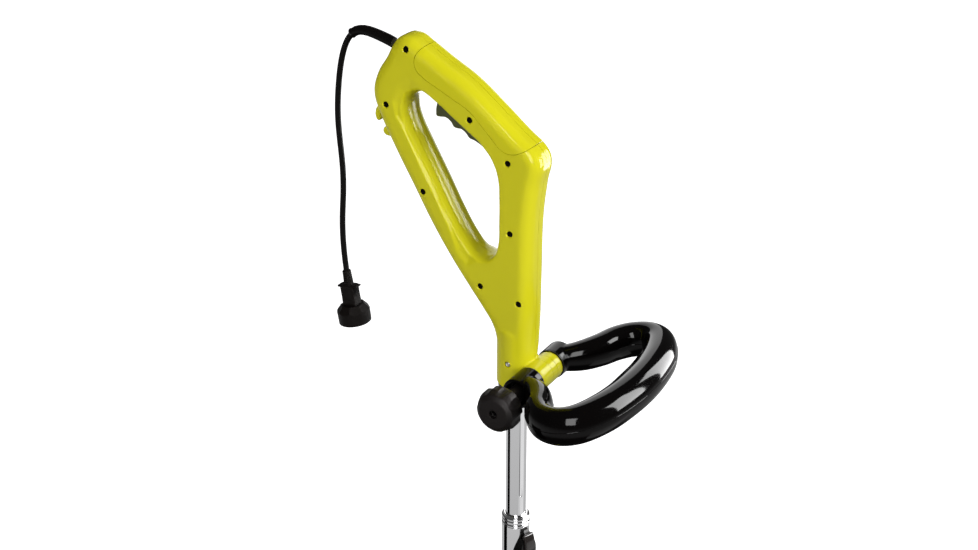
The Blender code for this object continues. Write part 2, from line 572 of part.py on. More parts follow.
def build_spool(head):
    cup = turned("spool_housing", ((4.6, -157), (40, -157), (49, -166), (50, -176), (50, -197), (47.5, -197),
                                   (47.5, -170), (40, -160), (4.6, -160)), BLACK, 28, parent=head)
    join(cup, rod("drive_boss", 9, -176, -158, steps=24, parent=head))
    cut(cup, rod("drive_bore", 4.3, -172, -150, steps=20, parent=head))
    for k, word in enumerate("ab"):
        t = 180 * k
        out = math.cos(math.radians(t))
        cut(cup, rod(f"eyelet_{word}", 2.6, 20, 80, steps=16, parent=head, at=(0, 0, LINE_Z),
                     turn=(0, 90 * out, 0)))
        rod(f"cutting_line_{word}", 1.1, 44, LINE_REACH, ORANGE, 8, parent=head, at=(0, 0, LINE_Z),
            turn=(0, 90 * out, 0))
    turned("line_spool", ((9.6, -164.5), (40.3, -164.5), (40.3, -167), (22, -167), (22, -192), (43, -192), (43, -195),
                          (14, -195), (14, -180), (9.6, -180)), DARK_GREY, 28, parent=head)
    turned("bump_knob", ((0, -183), (12.5, -183), (12.5, -197.5), (26, -199), (29, -205), (24, -214), (0, -214)),
           BLACK, 28, parent=head)
    wire("bump_spring", coil(6.2, -182.3, -177.0, 2.5, 8), 0.6, STEEL, 1, parent=head)


def build_guard(head):
    deck = turned("guard", ((49.6, -132), (118, -136), (GUARD_R, -150), (GUARD_R, -190), (GUARD_R - 3, -190),
                            (GUARD_R - 3, -153), (117, -139.5), (49.6, -135.5)), GUARD_BLACK, 60, parent=head)
    wedge = plate("guard_wedge", (((0, 0), (-BIG * math.cos(math.radians(GUARD_SPREAD)),
                                            BIG * math.sin(math.radians(GUARD_SPREAD))),
                                   (-BIG, BIG), (-BIG, -BIG),
                                   (-BIG * math.cos(math.radians(GUARD_SPREAD)),
                                    -BIG * math.sin(math.radians(GUARD_SPREAD)))),), BIG, smooth=False,
                  parent=head, turn=(-90, 0, 0))
    keep(deck, wedge)
    for side, word in ((-1, "right"), (1, "left")):
        join(deck, block(f"guard_rib_{word}", (50, 3, 8), parent=head, turn=(0, 0, -28 * side),
                         at=(-69, 37 * side, -132.5)))
    x = -math.cos(math.radians(66)) * (GUARD_R - 8.5)
    y = math.sin(math.radians(66)) * (GUARD_R - 8.5)
    block("line_cutter", (10, 1.4, 14), STEEL, parent=head, turn=(0, 0, -66), at=(x, y, -184))


def build_edge_guide(head):
    """A spring-wire hoop that pivots on the motor housing and keeps the line off a wall."""
    x, z = GUIDE_PIVOT
    side = [(x, -47.5, z), (x, -52.5, z), (24, -62, z - 4), (60, -110, z - 16), (86, -134, z - 31),
            (118, -112, z - 52), (146, -70, z - 58), (160, -30, z - 60), (163, 0, z - 60)]
    path = side + [(px, -y, h) for px, y, h in side[-2::-1]]
    wire("edge_guide", smooth_run(path, 13), 1.9, STEEL, 2, parent=head)


def build_head():
    head = empty("head_frame", (0, 0, TILT_Z), (0, TILT_REST, 0))
    build_housing(head)
    build_motor(head)
    build_spool(head)
    build_guard(head)
    build_edge_guide(head)


clear_scene()
PARTS = new_collection("string_trimmer")
CUTTERS = new_collection("cutters")
GUIDES = new_collection("guides")
LIME = {word: material(f"lime_{word}", (0.62, 0.66, 0.01), 0.25)
        for word in ("right", "left", "hook", "motor_right", "motor_left")}
PANEL_MAT = {word: material(f"lime_panel_{word}", (0.60, 0.64, 0.01), 0.28) for word in ("right", "left")}
GLOSS_BLACK = material("gloss_black", (0.01, 0.01, 0.01), 0.12)
KNOB_BLACK = material("knob_black", (0.02, 0.018, 0.017), 0.5)
BLACK = material("black_plastic", (0.02, 0.02, 0.02), 0.45)
DARK_GREY = material("dark_grey_plastic", (0.05, 0.05, 0.05), 0.4)
DARK_GREEN = material("trigger_green", (0.03, 0.04, 0.015), 0.5)
CORD_BLACK = material("cord_black", (0.012, 0.012, 0.012), 0.55)
GUARD_BLACK = material("guard_black", (0.02, 0.02, 0.02), 0.4)
RUBBER = material("shoe_rubber", (0.03, 0.03, 0.03), 0.8)
CHROME = material("chrome", (0.75, 0.75, 0.76), 0.08, 1.0)
STEEL = material("steel", (0.6, 0.6, 0.6), 0.3, 1.0)
COPPER = material("armature_copper", (0.55, 0.3, 0.15), 0.4, 0.8)
ORANGE = material("line_orange", (0.8, 0.25, 0.02), 0.4)
build_casing(cavity())
build_screws()
build_trigger()
build_retainer()
build_cord()
build_loop_handle()
build_shaft()
build_lock()
build_neck()
build_head()
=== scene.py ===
"""Fine surfaces and finishes of a corded string trimmer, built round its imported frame.

Shapes are worked out in millimetres and scaled to metres when a mesh is made. The frame has +Z up along the
shaft, +X towards the loop handle and the moulding seam of every casing at y = 0; the origin lies on the shaft
axis, level with the loop handle's pivot.
"""
from __future__ import annotations

import json
import logging
import math
from dataclasses import dataclass, field
from enum import Enum
from typing import Iterable, Iterator, Sequence

import bmesh
import bpy
from mathutils import Euler, Matrix, Vector
from mathutils.geometry import intersect_point_line
from mathutils.kdtree import KDTree

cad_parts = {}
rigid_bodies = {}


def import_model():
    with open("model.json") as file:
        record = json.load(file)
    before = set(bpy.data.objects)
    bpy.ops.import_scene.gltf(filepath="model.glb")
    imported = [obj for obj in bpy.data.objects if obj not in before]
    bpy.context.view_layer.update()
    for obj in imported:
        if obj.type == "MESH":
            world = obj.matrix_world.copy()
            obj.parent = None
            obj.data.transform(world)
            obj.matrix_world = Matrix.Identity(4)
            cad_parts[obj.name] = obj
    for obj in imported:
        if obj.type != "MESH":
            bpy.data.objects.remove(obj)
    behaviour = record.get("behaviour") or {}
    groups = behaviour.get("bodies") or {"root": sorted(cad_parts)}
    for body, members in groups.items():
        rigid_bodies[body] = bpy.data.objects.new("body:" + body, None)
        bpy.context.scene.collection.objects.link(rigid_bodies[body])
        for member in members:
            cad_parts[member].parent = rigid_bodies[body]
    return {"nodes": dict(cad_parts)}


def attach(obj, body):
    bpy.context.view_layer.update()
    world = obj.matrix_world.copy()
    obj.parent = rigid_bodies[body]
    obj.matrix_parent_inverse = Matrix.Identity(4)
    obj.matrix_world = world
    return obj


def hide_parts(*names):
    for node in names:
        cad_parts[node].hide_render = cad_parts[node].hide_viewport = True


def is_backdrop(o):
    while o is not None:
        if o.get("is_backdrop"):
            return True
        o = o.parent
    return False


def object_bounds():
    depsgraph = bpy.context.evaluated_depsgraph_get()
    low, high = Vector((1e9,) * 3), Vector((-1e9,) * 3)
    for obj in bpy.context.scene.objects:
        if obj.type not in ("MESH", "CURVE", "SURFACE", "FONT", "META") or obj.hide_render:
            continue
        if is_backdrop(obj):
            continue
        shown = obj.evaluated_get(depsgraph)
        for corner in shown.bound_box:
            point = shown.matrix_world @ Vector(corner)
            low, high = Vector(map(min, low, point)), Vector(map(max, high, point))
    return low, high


MM = 0.001
GAP = 0.3
BIG = 400.0
LOG = logging.getLogger("string_trimmer")

Object = bpy.types.Object
Point = Sequence[float]


class Side(Enum):
    """The two halves of a casing; the value is the sign of y."""

    RIGHT = -1
    LEFT = 1

    @property
    def word(self) -> str:
        """The side's name in node names."""
        return self.name.lower()


class Solver(Enum):
    """How a boolean cut is worked out: exact for coarse shapes, manifold for dense closed ones."""

    EXACT = "EXACT"
    FAST = "MANIFOLD"


class Reach(Enum):
    """Which surfaces a lamp serves: (lights them, is mirrored in them)."""

    LIT = (True, False)
    MIRRORED = (False, True)


# ---------------------------------------------------------------- mesh tools
def seat(at: Point = (0, 0, 0), turn: Point = (0, 0, 0), parent: Matrix | None = None) -> Matrix:
    """The place of a piece.

    Args:
        at: origin, in millimetres.
        turn: rotation about X, Y and Z, in degrees.
        parent: frame that the place is given in.

    Returns:
        A matrix in millimetres.
    """
    local = Matrix.Translation(at) @ Euler([math.radians(v) for v in turn]).to_matrix().to_4x4()
    return local if parent is None else parent @ local


def make(name: str, bm: bmesh.types.BMesh, place: Matrix | None = None) -> Object:
    """Turn a bmesh in millimetres into an object in metres, faces pointing out.

    Args:
        name: the object's name.
        bm: the shape; it is freed.
        place: where the shape goes.

    Returns:
        The new object, with its origin at the frame's origin.
    """
    if place is not None:
        bmesh.ops.transform(bm, matrix=place, verts=bm.verts)
    bmesh.ops.scale(bm, vec=(MM, MM, MM), verts=bm.verts)
    bmesh.ops.recalc_face_normals(bm, faces=bm.faces)
    mesh = bpy.data.meshes.new(name)
    bm.to_mesh(mesh)
    bm.free()
    ob = bpy.data.objects.new(name, mesh)
    bpy.context.scene.collection.objects.link(ob)
    return ob


def settle(ob: Object) -> Object:
    """Swap an object's mesh for the one that its modifiers make."""
    bpy.context.view_layer.update()
    seen = ob.evaluated_get(bpy.context.evaluated_depsgraph_get())
    mesh = bpy.data.meshes.new_from_object(seen)
    ob.modifiers.clear()
    ob.data = mesh
    return ob


def combine(ob: Object, operation: str, others: Iterable[Object], solver: Solver = Solver.EXACT) -> Object:
    """Apply one boolean for each other solid, and remove those solids.

    Args:
        ob: the solid to change.
        operation: UNION, DIFFERENCE or INTERSECT.
        others: the solids to combine with it.
        solver: how the cut is worked out.

    Returns:
        The changed object.
    """
    others = list(others)
    for other in others:
        mod = ob.modifiers.new(operation.title(), "BOOLEAN")
        mod.operation, mod.solver, mod.object = operation, solver.value, other
    settle(ob)
    for other in others:
        bpy.data.objects.remove(other)
    return ob


def cut(ob: Object, *tools: Object, solver: Solver = Solver.EXACT) -> Object:
    """Take the tools' shapes out of a solid."""
    return combine(ob, "DIFFERENCE", tools, solver)


def fuse(ob: Object, *others: Object, solver: Solver = Solver.EXACT) -> Object:
    """Grow a solid by the others."""
    return combine(ob, "UNION", others, solver)


def trim(ob: Object, *others: Object, solver: Solver = Solver.EXACT) -> Object:
    """Keep what a solid shares with the others."""
    return combine(ob, "INTERSECT", others, solver)


def gather(name: str, *obs: Object) -> Object:
    """Put several meshes into one object without a boolean."""
    bm = bmesh.new()
    for ob in obs:
        bm.from_mesh(ob.data)
        bpy.data.objects.remove(ob)
    mesh = bpy.data.meshes.new(name)
    bm.to_mesh(mesh)
    bm.free()
    joined = bpy.data.objects.new(name, mesh)
    bpy.context.scene.collection.objects.link(joined)
    return joined


def copy_of(ob: Object, name: str) -> Object:
    """A second object with its own copy of the mesh."""
    twin = bpy.data.objects.new(name, ob.data.copy())
    bpy.context.scene.collection.objects.link(twin)
    return twin


def blended(ob: Object, voxel: float, passes: int) -> Object:
    """Melt joined solids into one skin with soft inner corners.

    Args:
        ob: overlapping closed shapes.
        voxel: size of the new faces, in millimetres.
        passes: smoothing passes; more gives softer blends.

    Returns:
        The same object with its new skin.
    """
    remesh = ob.modifiers.new("Skin", "REMESH")
    remesh.mode, remesh.voxel_size = "VOXEL", voxel * MM
    soften = ob.modifiers.new("Soften", "SMOOTH")
    soften.factor, soften.iterations = 0.5, passes
    return settle(ob)


def filleted(corners: Sequence[Point], steps: int = 5, closed: bool = False) -> list[tuple[float, float]]:
    """An outline with its corners rounded.

    Args:
        corners: points (u, v) or (u, v, radius).
        steps: arc segments in each corner.
        closed: whether the last corner joins the first.

    Returns:
        The points (u, v) of the rounded outline.
    """
    run: list[tuple[float, float]] = []
    count = len(corners)
    for i, corner in enumerate(corners):
        here = Vector(corner[:2])
        radius = corner[2] if len(corner) > 2 else 0.0
        if radius == 0 or (not closed and i in (0, count - 1)):
            run.append(tuple(here))
            continue
        back = Vector(corners[i - 1][:2]) - here
        ahead = Vector(corners[(i + 1) % count][:2]) - here
        half = back.angle(ahead) / 2
        reach = min(radius / math.tan(half), 0.49 * back.length, 0.49 * ahead.length)
        start, end = here + back.normalized() * reach, here + ahead.normalized() * reach
        for k in range(steps + 1):
            t = k / steps
            run.append(tuple(start * (1 - t) ** 2 + here * 2 * t * (1 - t) + end * t * t))
    return run


def smooth_run(knots: Sequence[Point], step: float, closed: bool = False) -> list[Vector]:
    """Points on a Catmull-Rom curve.

    Args:
        knots: points that the curve passes through, of any one dimension up to four.
        step: distance between points on the curve.
        closed: whether the curve returns to its first knot.

    Returns:
        The points, the first knot first.
    """
    knots = [Vector(k) for k in knots]
    if closed:
        ends = [knots[-1]] + knots + knots[:2]
    else:
        ends = [2 * knots[0] - knots[1]] + knots + [2 * knots[-1] - knots[-2]]
    run = [knots[0]]
    for p0, p1, p2, p3 in zip(ends, ends[1:], ends[2:], ends[3:]):
        count = max(1, round((p2 - p1).length / step))
        for i in range(1, count + 1):
            t = i / count
            run.append(0.5 * (2 * p1 + (p2 - p0) * t + (2 * p0 - 5 * p1 + 4 * p2 - p3) * t * t
                              + (3 * p1 - p0 - 3 * p2 + p3) * t ** 3))
    return run[:-1] if closed else run


def turned(name: str, profile: Sequence[Point], place: Matrix | None = None, steps: int = 96) -> Object:
    """A turned solid about local Z.

    Args:
        name: the object's name.
        profile: points (radius, height) or (radius, height, fillet) round the section.
        place: where it goes.
        steps: faces round the axis.

    Returns:
        The new object.
    """
    closed = profile[0][0] > 0
    points = filleted(profile, closed=closed)
    bm = bmesh.new()
    rows: list[list[bmesh.types.BMVert]] = []
    for r, z in points:
        if r < 1e-6:
            rows.append([bm.verts.new((0, 0, z))] * steps)
        else:
            rows.append([bm.verts.new((r * math.cos(a), r * math.sin(a), z))
                         for a in (math.tau * k / steps for k in range(steps))])
    pairs = list(zip(rows, rows[1:])) + ([(rows[-1], rows[0])] if closed else [])
    for upper, lower in pairs:
        for k in range(steps):
            j = (k + 1) % steps
            corners = [upper[k], upper[j], lower[j], lower[k]]
            unique = [v for i, v in enumerate(corners) if v not in corners[:i]]
            if len(unique) > 2:
                bm.faces.new(unique)
    return make(name, bm, place)


def rod(name: str, radius: float, low: float, high: float, place: Matrix | None = None, steps: int = 48,
        edge: float = 0.0) -> Object:
    """A cylinder about local Z from low to high, with rounded rims where edge is not zero."""
    return turned(name, ((0, high), (radius, high, edge), (radius, low, edge), (0, low)), place, steps)


def ring(name: str, outer: float, inner: float, low: float, high: float, place: Matrix | None = None,
         edge: float = 0.4, steps: int = 96) -> Object:
    """A tube about local Z with rounded rims."""
    return turned(name, ((outer, high, edge), (outer, low, edge), (inner, low, edge), (inner, high, edge)),
                  place, steps)


def block(name: str, size: Point, place: Matrix | None = None, edge: float = 0.0, rounds: int = 4) -> Object:
    """A block with rounded edges, centred on its place."""
    bm = bmesh.new()
    bmesh.ops.create_cube(bm, size=1.0)
    bmesh.ops.scale(bm, vec=size, verts=bm.verts)
    if edge:
        bmesh.ops.bevel(bm, geom=list(bm.edges), offset=edge, segments=rounds, profile=0.5, affect="EDGES")
    return make(name, bm, place)


def loft(name: str, rings: Sequence[Sequence[Point]], place: Matrix | None = None,
         closed: bool = False) -> Object:
    """A skin through rings of equal point counts.

    Args:
        name: the object's name.
        rings: the sections.
        place: where it goes.
        closed: whether the last section joins the first; otherwise both ends are capped.

    Returns:
        The new object.
    """
    bm = bmesh.new()
    loops = [[bm.verts.new(p) for p in points] for points in rings]
    count = len(loops[0])
    for a, b in zip(loops, loops[1:] + (loops[:1] if closed else [])):
        for i in range(count):
            j = (i + 1) % count
            bm.faces.new((a[i], a[j], b[j], b[i]))
    if not closed:
        bm.faces.new(loops[0])
        bm.faces.new(loops[-1])
    return make(name, bm, place)


def tube(name: str, path: Sequence[Point], radius: float | Sequence[float], place: Matrix | None = None,
         sides: int = 20, closed: bool = False) -> Object:
    """A round bar along a path, with its own radius at each point where a list is given."""
    points = [Vector(p) for p in path]
    count = len(points)
    radii = [radius] * count if isinstance(radius, (int, float)) else list(radius)
    rings = []
    guide = Vector((0, 1, 0))
    for i, here in enumerate(points):
        if closed:
            along = points[(i + 1) % count] - points[i - 1]
        else:
            along = points[min(i + 1, count - 1)] - points[max(i - 1, 0)]
        along.normalize()
        guide = (guide - along * guide.dot(along)).normalized()
        other = along.cross(guide)
        rings.append([here + radii[i] * (guide * math.cos(a) + other * math.sin(a))
                      for a in (math.tau * k / sides for k in range(sides))])
    return loft(name, rings, place, closed)


def plate(name: str, outlines: Sequence[Sequence[Point]], half: float, edge: float = 0.0, inset: float = 0.0,
          place: Matrix | None = None, fine: int = 6, rounds: int = 4, smooth: bool = True) -> Object:
    """A plate in the XZ plane, half to each side of it, with round long edges.

    Args:
        name: the object's name.
        outlines: closed runs of (x, z) points; one inside another is a hole.
        half: half thickness.
        edge: radius of the long edges.
        inset: how far the outline draws in.
        place: where it goes.
        fine: points on each smooth stretch between two given ones.
        rounds: faces across a round edge.
        smooth: whether the outline is a smooth curve through its points.

    Returns:
        The new object.
    """
    data = bpy.data.curves.new(name, "CURVE")
    data.dimensions, data.fill_mode = "2D", "BOTH"
    data.resolution_u, data.bevel_resolution = fine, rounds
    data.extrude, data.bevel_depth, data.offset = (half - edge) * MM, edge * MM, -(edge + inset) * MM
    for outline in outlines:
        spline = data.splines.new("BEZIER" if smooth else "POLY")
        points = spline.bezier_points if smooth else spline.points
        points.add(len(outline) - 1)
        for point, (x, z) in zip(points, outline):
            point.co = (x * MM, z * MM, 0) if smooth else (x * MM, z * MM, 0, 1)
            if smooth:
                point.handle_left_type = point.handle_right_type = "AUTO"
        spline.use_cyclic_u = True
    drawn = bpy.data.objects.new(name, data)
    bpy.context.scene.collection.objects.link(drawn)
    bpy.context.view_layer.update()
    mesh = bpy.data.meshes.new_from_object(drawn.evaluated_get(bpy.context.evaluated_depsgraph_get()))
    bpy.data.objects.remove(drawn)
    bm = bmesh.new()
    bm.from_mesh(mesh)
    bpy.data.meshes.remove(mesh)
    bmesh.ops.remove_doubles(bm, verts=bm.verts, dist=0.01 * MM)
    bmesh.ops.scale(bm, vec=(1 / MM, 1 / MM, 1 / MM), verts=bm.verts)
    upright = Matrix.Rotation(math.radians(90), 4, "X")
    return make(name, bm, upright if place is None else place @ upright)


def polar(radius: float, degrees: float, z: float = 0.0) -> tuple[float, float, float]:
    """A point at an angle round local Z."""
    return radius * math.cos(math.radians(degrees)), radius * math.sin(math.radians(degrees)), z


def coil(radius: float, low: float, high: float, turns: float, per_turn: int = 24) -> list[Point]:
    """Points along a helix about Z."""
    count = int(turns * per_turn)
    return [polar(radius, 360 * i / per_turn, low + (high - low) * i / count) for i in range(count + 1)]


# ---------------------------------------------------------------- finishes
@dataclass(frozen=True)
class Finish:
    """A surface with its grain at real size.

    Attributes:
        name: the material's name.
        color: linear base colour.
        roughness: mean roughness.
        metallic: 1 for metal.
        mottle: share by which the colour drifts over the surface.
        swing: how far roughness drifts either way.
        grain: fine grains per metre.
        relief: height of the grain, in millimetres.
        streak: how much the grain is drawn out along Z.
        coat: strength of a clear skin.
        shine: specular level.
    """

    name: str
    color: tuple[float, float, float]
    roughness: float
    metallic: float = 0.0
    mottle: float = 0.06
    swing: float = 0.05
    grain: float = 900.0
    relief: float = 0.02
    streak: float = 1.0
    coat: float = 0.0
    shine: float = 0.5

    def material(self) -> bpy.types.Material:
        """The finish as a node material, made once."""
        found = bpy.data.materials.get(self.name)
        if found is not None:
            return found
        mat = bpy.data.materials.new(self.name)
        mat.use_nodes = True
        nodes, links = mat.node_tree.nodes, mat.node_tree.links
        surface = nodes["Principled BSDF"]
        surface.inputs["Metallic"].default_value = self.metallic
        surface.inputs["Specular IOR Level"].default_value = self.shine
        surface.inputs["Coat Weight"].default_value = self.coat
        surface.inputs["Coat Roughness"].default_value = 0.04
        place = nodes.new("ShaderNodeTexCoord")
        spread = nodes.new("ShaderNodeMapping")
        spread.inputs["Scale"].default_value = (1.0, 1.0, 1.0 / self.streak)
        links.new(place.outputs["Object"], spread.inputs["Vector"])
        drift = self.noise(nodes, links, spread, 28.0, 3.0)
        fine = self.noise(nodes, links, spread, self.grain, 4.0)
        tint = nodes.new("ShaderNodeMix")
        tint.data_type = "RGBA"
        tint.inputs["A"].default_value = (*(c * (1 - self.mottle) for c in self.color), 1)
        tint.inputs["B"].default_value = (*(min(1.0, c * (1 + self.mottle)) for c in self.color), 1)
        links.new(drift.outputs["Fac"], tint.inputs["Factor"])
        links.new(tint.outputs["Result"], surface.inputs["Base Color"])
        rough = nodes.new("ShaderNodeMapRange")
        rough.inputs["To Min"].default_value = max(0.0, self.roughness - self.swing)
        rough.inputs["To Max"].default_value = self.roughness + self.swing
        links.new(drift.outputs["Fac"], rough.inputs["Value"])
        links.new(rough.outputs["Result"], surface.inputs["Roughness"])
        bump = nodes.new("ShaderNodeBump")
        bump.inputs["Strength"].default_value = 1.0
        bump.inputs["Distance"].default_value = self.relief * MM
        links.new(fine.outputs["Fac"], bump.inputs["Height"])
        links.new(bump.outputs["Normal"], surface.inputs["Normal"])
        return mat

    @staticmethod
    def noise(nodes: bpy.types.Nodes, links: bpy.types.NodeLinks, place: bpy.types.Node, scale: float,
              detail: float) -> bpy.types.Node:
        """A noise node on the given coordinates."""
        node = nodes.new("ShaderNodeTexNoise")
        node.inputs["Scale"].default_value = scale
        node.inputs["Detail"].default_value = detail
        links.new(place.outputs["Vector"], node.inputs["Vector"])
        return node


LIME = Finish("lime_moulding", (0.655, 0.614, 0.014), 0.14, mottle=0.025, swing=0.03, relief=0.002,
              shine=0.14)
PANEL_LIME = Finish("lime_grip_panel", (0.665, 0.622, 0.012), 0.15, mottle=0.025, swing=0.03, relief=0.002,
                    shine=0.14)
# painted shade: a near-black lime that stands in for the shadow deep inside the screw wells
WELL_PAINTED_SHADE = Finish("lime_screw_well_painted_shade", (0.020, 0.018, 0.003), 0.8, shine=0.1)
OLIVE = Finish("olive_trigger", (0.052, 0.060, 0.010), 0.36, mottle=0.12, relief=0.02)
GLOSS_BLACK = Finish("gloss_black_loop", (0.0018, 0.0014, 0.0014), 0.08, mottle=0.2, swing=0.02, relief=0.001,
                     shine=0.16)
KNOB_BLACK = Finish("matt_black_knob", (0.0085, 0.0062, 0.0058), 0.48, mottle=0.2, relief=0.03, shine=0.2)
SATIN_BLACK = Finish("satin_black_moulding", (0.0040, 0.0036, 0.0034), 0.3, mottle=0.2, relief=0.01,
                     shine=0.25)
GREY_PLASTIC = Finish("dark_grey_moulding", (0.030, 0.027, 0.024), 0.3, mottle=0.15, relief=0.02)
LEVER_GREY = Finish("lock_lever_moulding", (0.018, 0.014, 0.013), 0.2, mottle=0.15, relief=0.01)
CORD_SHEATH = Finish("cord_sheath", (0.0040, 0.0032, 0.0030), 0.34, mottle=0.25, grain=1400, relief=0.02,
                     streak=4, shine=0.1)
PLUG_RUBBER = Finish("plug_moulding", (0.0060, 0.0046, 0.0040), 0.4, mottle=0.25, grain=1500, relief=0.03,
                     shine=0.1)
RUBBER = Finish("shoe_rubber_grain", (0.020, 0.020, 0.020), 0.75, mottle=0.2, relief=0.08)
CHROME = Finish("chromed_tube", (0.82, 0.82, 0.83), 0.06, metallic=1.0, mottle=0.02, swing=0.02, grain=500,
                relief=0.002, streak=30)
STEEL = Finish("zinc_plated_steel", (0.62, 0.61, 0.58), 0.28, metallic=1.0, mottle=0.08, swing=0.08,
               relief=0.01)
DARK_STEEL = Finish("dark_screw_steel", (0.05, 0.05, 0.05), 0.4, metallic=1.0, mottle=0.1, relief=0.01)
BRASS = Finish("plug_blade_brass", (0.70, 0.58, 0.34), 0.22, metallic=1.0, mottle=0.08, swing=0.05,
               relief=0.006)
IRON = Finish("laminated_iron", (0.20, 0.19, 0.18), 0.42, metallic=0.9, mottle=0.2, grain=2500, relief=0.05)
COPPER = Finish("wound_copper", (0.60, 0.26, 0.11), 0.33, metallic=1.0, mottle=0.2, grain=1800, relief=0.08)
NYLON = Finish("line_nylon_orange", (0.75, 0.20, 0.012), 0.3, mottle=0.1, relief=0.02)


def dress(piece: Object, body: str, finish: Finish, slot: str, *nodes: str, sharp: float = 32.0) -> Object:
    """Finish a piece and hand it to its body.

    Args:
        piece: the new mesh.
        body: the body that it rides on.
        finish: its surface.
        slot: the record's material slot; not used.
        *nodes: CAD nodes that it stands for.
        sharp: angle between faces, in degrees, above which an edge stays crisp.

    Returns:
        The same object.
    """
    if piece.type == "MESH":
        piece.data.shade_smooth()
        piece.data.set_sharp_from_angle(angle=math.radians(sharp))
    piece.data.materials.clear()
    piece.data.materials.append(finish.material())
    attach(piece, body)
    if nodes:
        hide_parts(*nodes)
    LOG.info("%s rides on %s", piece.name, body)
    return piece


# ---------------------------------------------------------------- studio
@dataclass
class Studio:
    """Pale floor, soft boxes and the camera."""

    camera_at: tuple[float, float, float] = (0.7361, -1.275, 0.85)
    camera_turn: tuple[float, float, float] = (63.21, 0.0, 31.156)
    lens: float = 58.9
    floor_z: float = -0.96
    floor_size: float = 60.0

    def camera(self) -> Object:
        """The camera, looking down on the handle from the right."""
        data = bpy.data.cameras.new("view")
        data.lens, data.sensor_width = self.lens, 36.0
        data.clip_start, data.clip_end = 0.05, 100.0
        ob = bpy.data.objects.new("view", data)
        ob.location = self.camera_at
        ob.rotation_euler = [math.radians(v) for v in self.camera_turn]
        bpy.context.scene.collection.objects.link(ob)
        bpy.context.scene.camera = ob
        return ob

    def floor(self) -> Object:
        """A pale floor under the hanging trimmer."""
        bm = bmesh.new()
        bmesh.ops.create_grid(bm, x_segments=8, y_segments=8, size=self.floor_size / 2 / MM)
        ob = make("floor", bm, seat((0, 0, self.floor_z / MM)))
        mat = bpy.data.materials.new("pale_floor")
        mat.use_nodes = True
        surface = mat.node_tree.nodes["Principled BSDF"]
        surface.inputs["Base Color"].default_value = (0.55, 0.55, 0.55, 1)
        surface.inputs["Roughness"].default_value = 1.0
        surface.inputs["Specular IOR Level"].default_value = 0.0
        surface.inputs["Emission Color"].default_value = (1, 1, 1, 1)
        surface.inputs["Emission Strength"].default_value = 1.2
        ob.data.materials.append(mat)
        ob.visible_glossy = False
        ob.visible_diffuse = False
        ob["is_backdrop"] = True
        return ob

    def soft_box(self, name: str, degrees: float, rise: float, distance: float, size: Point, level: float,
                 reach: Reach = Reach.LIT, aim: Point = (0.0, 0.0, 0.1)) -> Object:
        """A rectangular soft box.

        Args:
            name: the light's name.
            degrees: where it stands round the trimmer.
            rise: how high it stands, in degrees above level.
            distance: how far from the point it faces, in metres.
            size: width and height, in metres.
            level: the light that it gives a surface facing it.
            reach: whether it lights surfaces or is mirrored in them.
            aim: the point that it faces.

        Returns:
            The light.
        """
        data = bpy.data.lights.new(name, "AREA")
        data.shape, data.size, data.size_y = "RECTANGLE", size[0], size[1]
        data.energy = level * math.pi ** 2 * distance ** 2
        ob = bpy.data.objects.new(name, data)
        out = Vector(polar(math.cos(math.radians(rise)), degrees, math.sin(math.radians(rise))))
        ob.location = Vector(aim) + out * distance
        ob.rotation_euler = out.to_track_quat("Z", "Y").to_euler()
        ob.visible_diffuse, ob.visible_glossy = reach.value
        ob.visible_camera = False
        bpy.context.scene.collection.objects.link(ob)
        return ob

    def card(self, name: str, degrees: float, distance: float, width: float, low: float, high: float,
             glow: float) -> Object:
        """An upright card that only the bright metal and gloss surfaces mirror."""
        x, y, _ = polar(distance / MM, degrees)
        bm = bmesh.new()
        bmesh.ops.create_grid(bm, x_segments=1, y_segments=1, size=0.5)
        bmesh.ops.scale(bm, vec=(width / MM, (high - low) / MM, 1), verts=bm.verts)
        ob = make(name, bm, seat((x, y, (low + high) / 2 / MM), (90, 0, degrees + 90)))
        mat = bpy.data.materials.new(name)
        mat.use_nodes = True
        surface = mat.node_tree.nodes["Principled BSDF"]
        surface.inputs["Base Color"].default_value = (0, 0, 0, 1)
        surface.inputs["Specular IOR Level"].default_value = 0.0
        surface.inputs["Emission Color"].default_value = (1, 1, 1, 1)
        surface.inputs["Emission Strength"].default_value = glow
        ob.data.materials.append(mat)
        ob.visible_camera = ob.visible_diffuse = ob.visible_shadow = False
        ob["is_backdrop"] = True
        return ob

    def sky(self) -> None:
        """Soft light from all round: pale a little below level, dark elsewhere."""
        world = bpy.data.worlds.new("studio")
        bpy.context.scene.world = world
        world.use_nodes = True
        nodes, links = world.node_tree.nodes, world.node_tree.links
        place = nodes.new("ShaderNodeTexCoord")
        split = nodes.new("ShaderNodeSeparateXYZ")
        lift = nodes.new("ShaderNodeMapRange")
        lift.inputs["From Min"].default_value = -1.0
        ramp = nodes.new("ShaderNodeValToRGB")
        ramp.color_ramp.elements[0].position = 0.0
        ramp.color_ramp.elements[0].color = (0.03, 0.03, 0.03, 1)
        ramp.color_ramp.elements[1].position = 1.0
        ramp.color_ramp.elements[1].color = (0.08, 0.08, 0.08, 1)
        for position, level in ((0.13, 0.05), (0.19, 0.5), (0.27, 0.60), (0.34, 0.45), (0.42, 0.10),
                                (0.56, 0.07), (0.72, 0.07)):
            stop = ramp.color_ramp.elements.new(position)
            stop.color = (level, level, level, 1)
        links.new(place.outputs["Generated"], split.inputs["Vector"])
        links.new(split.outputs["Z"], lift.inputs["Value"])
        links.new(lift.outputs["Result"], ramp.inputs["Fac"])
        back = nodes["Background"]
        links.new(ramp.outputs["Color"], back.inputs["Color"])
        back.inputs["Strength"].default_value = 1.0

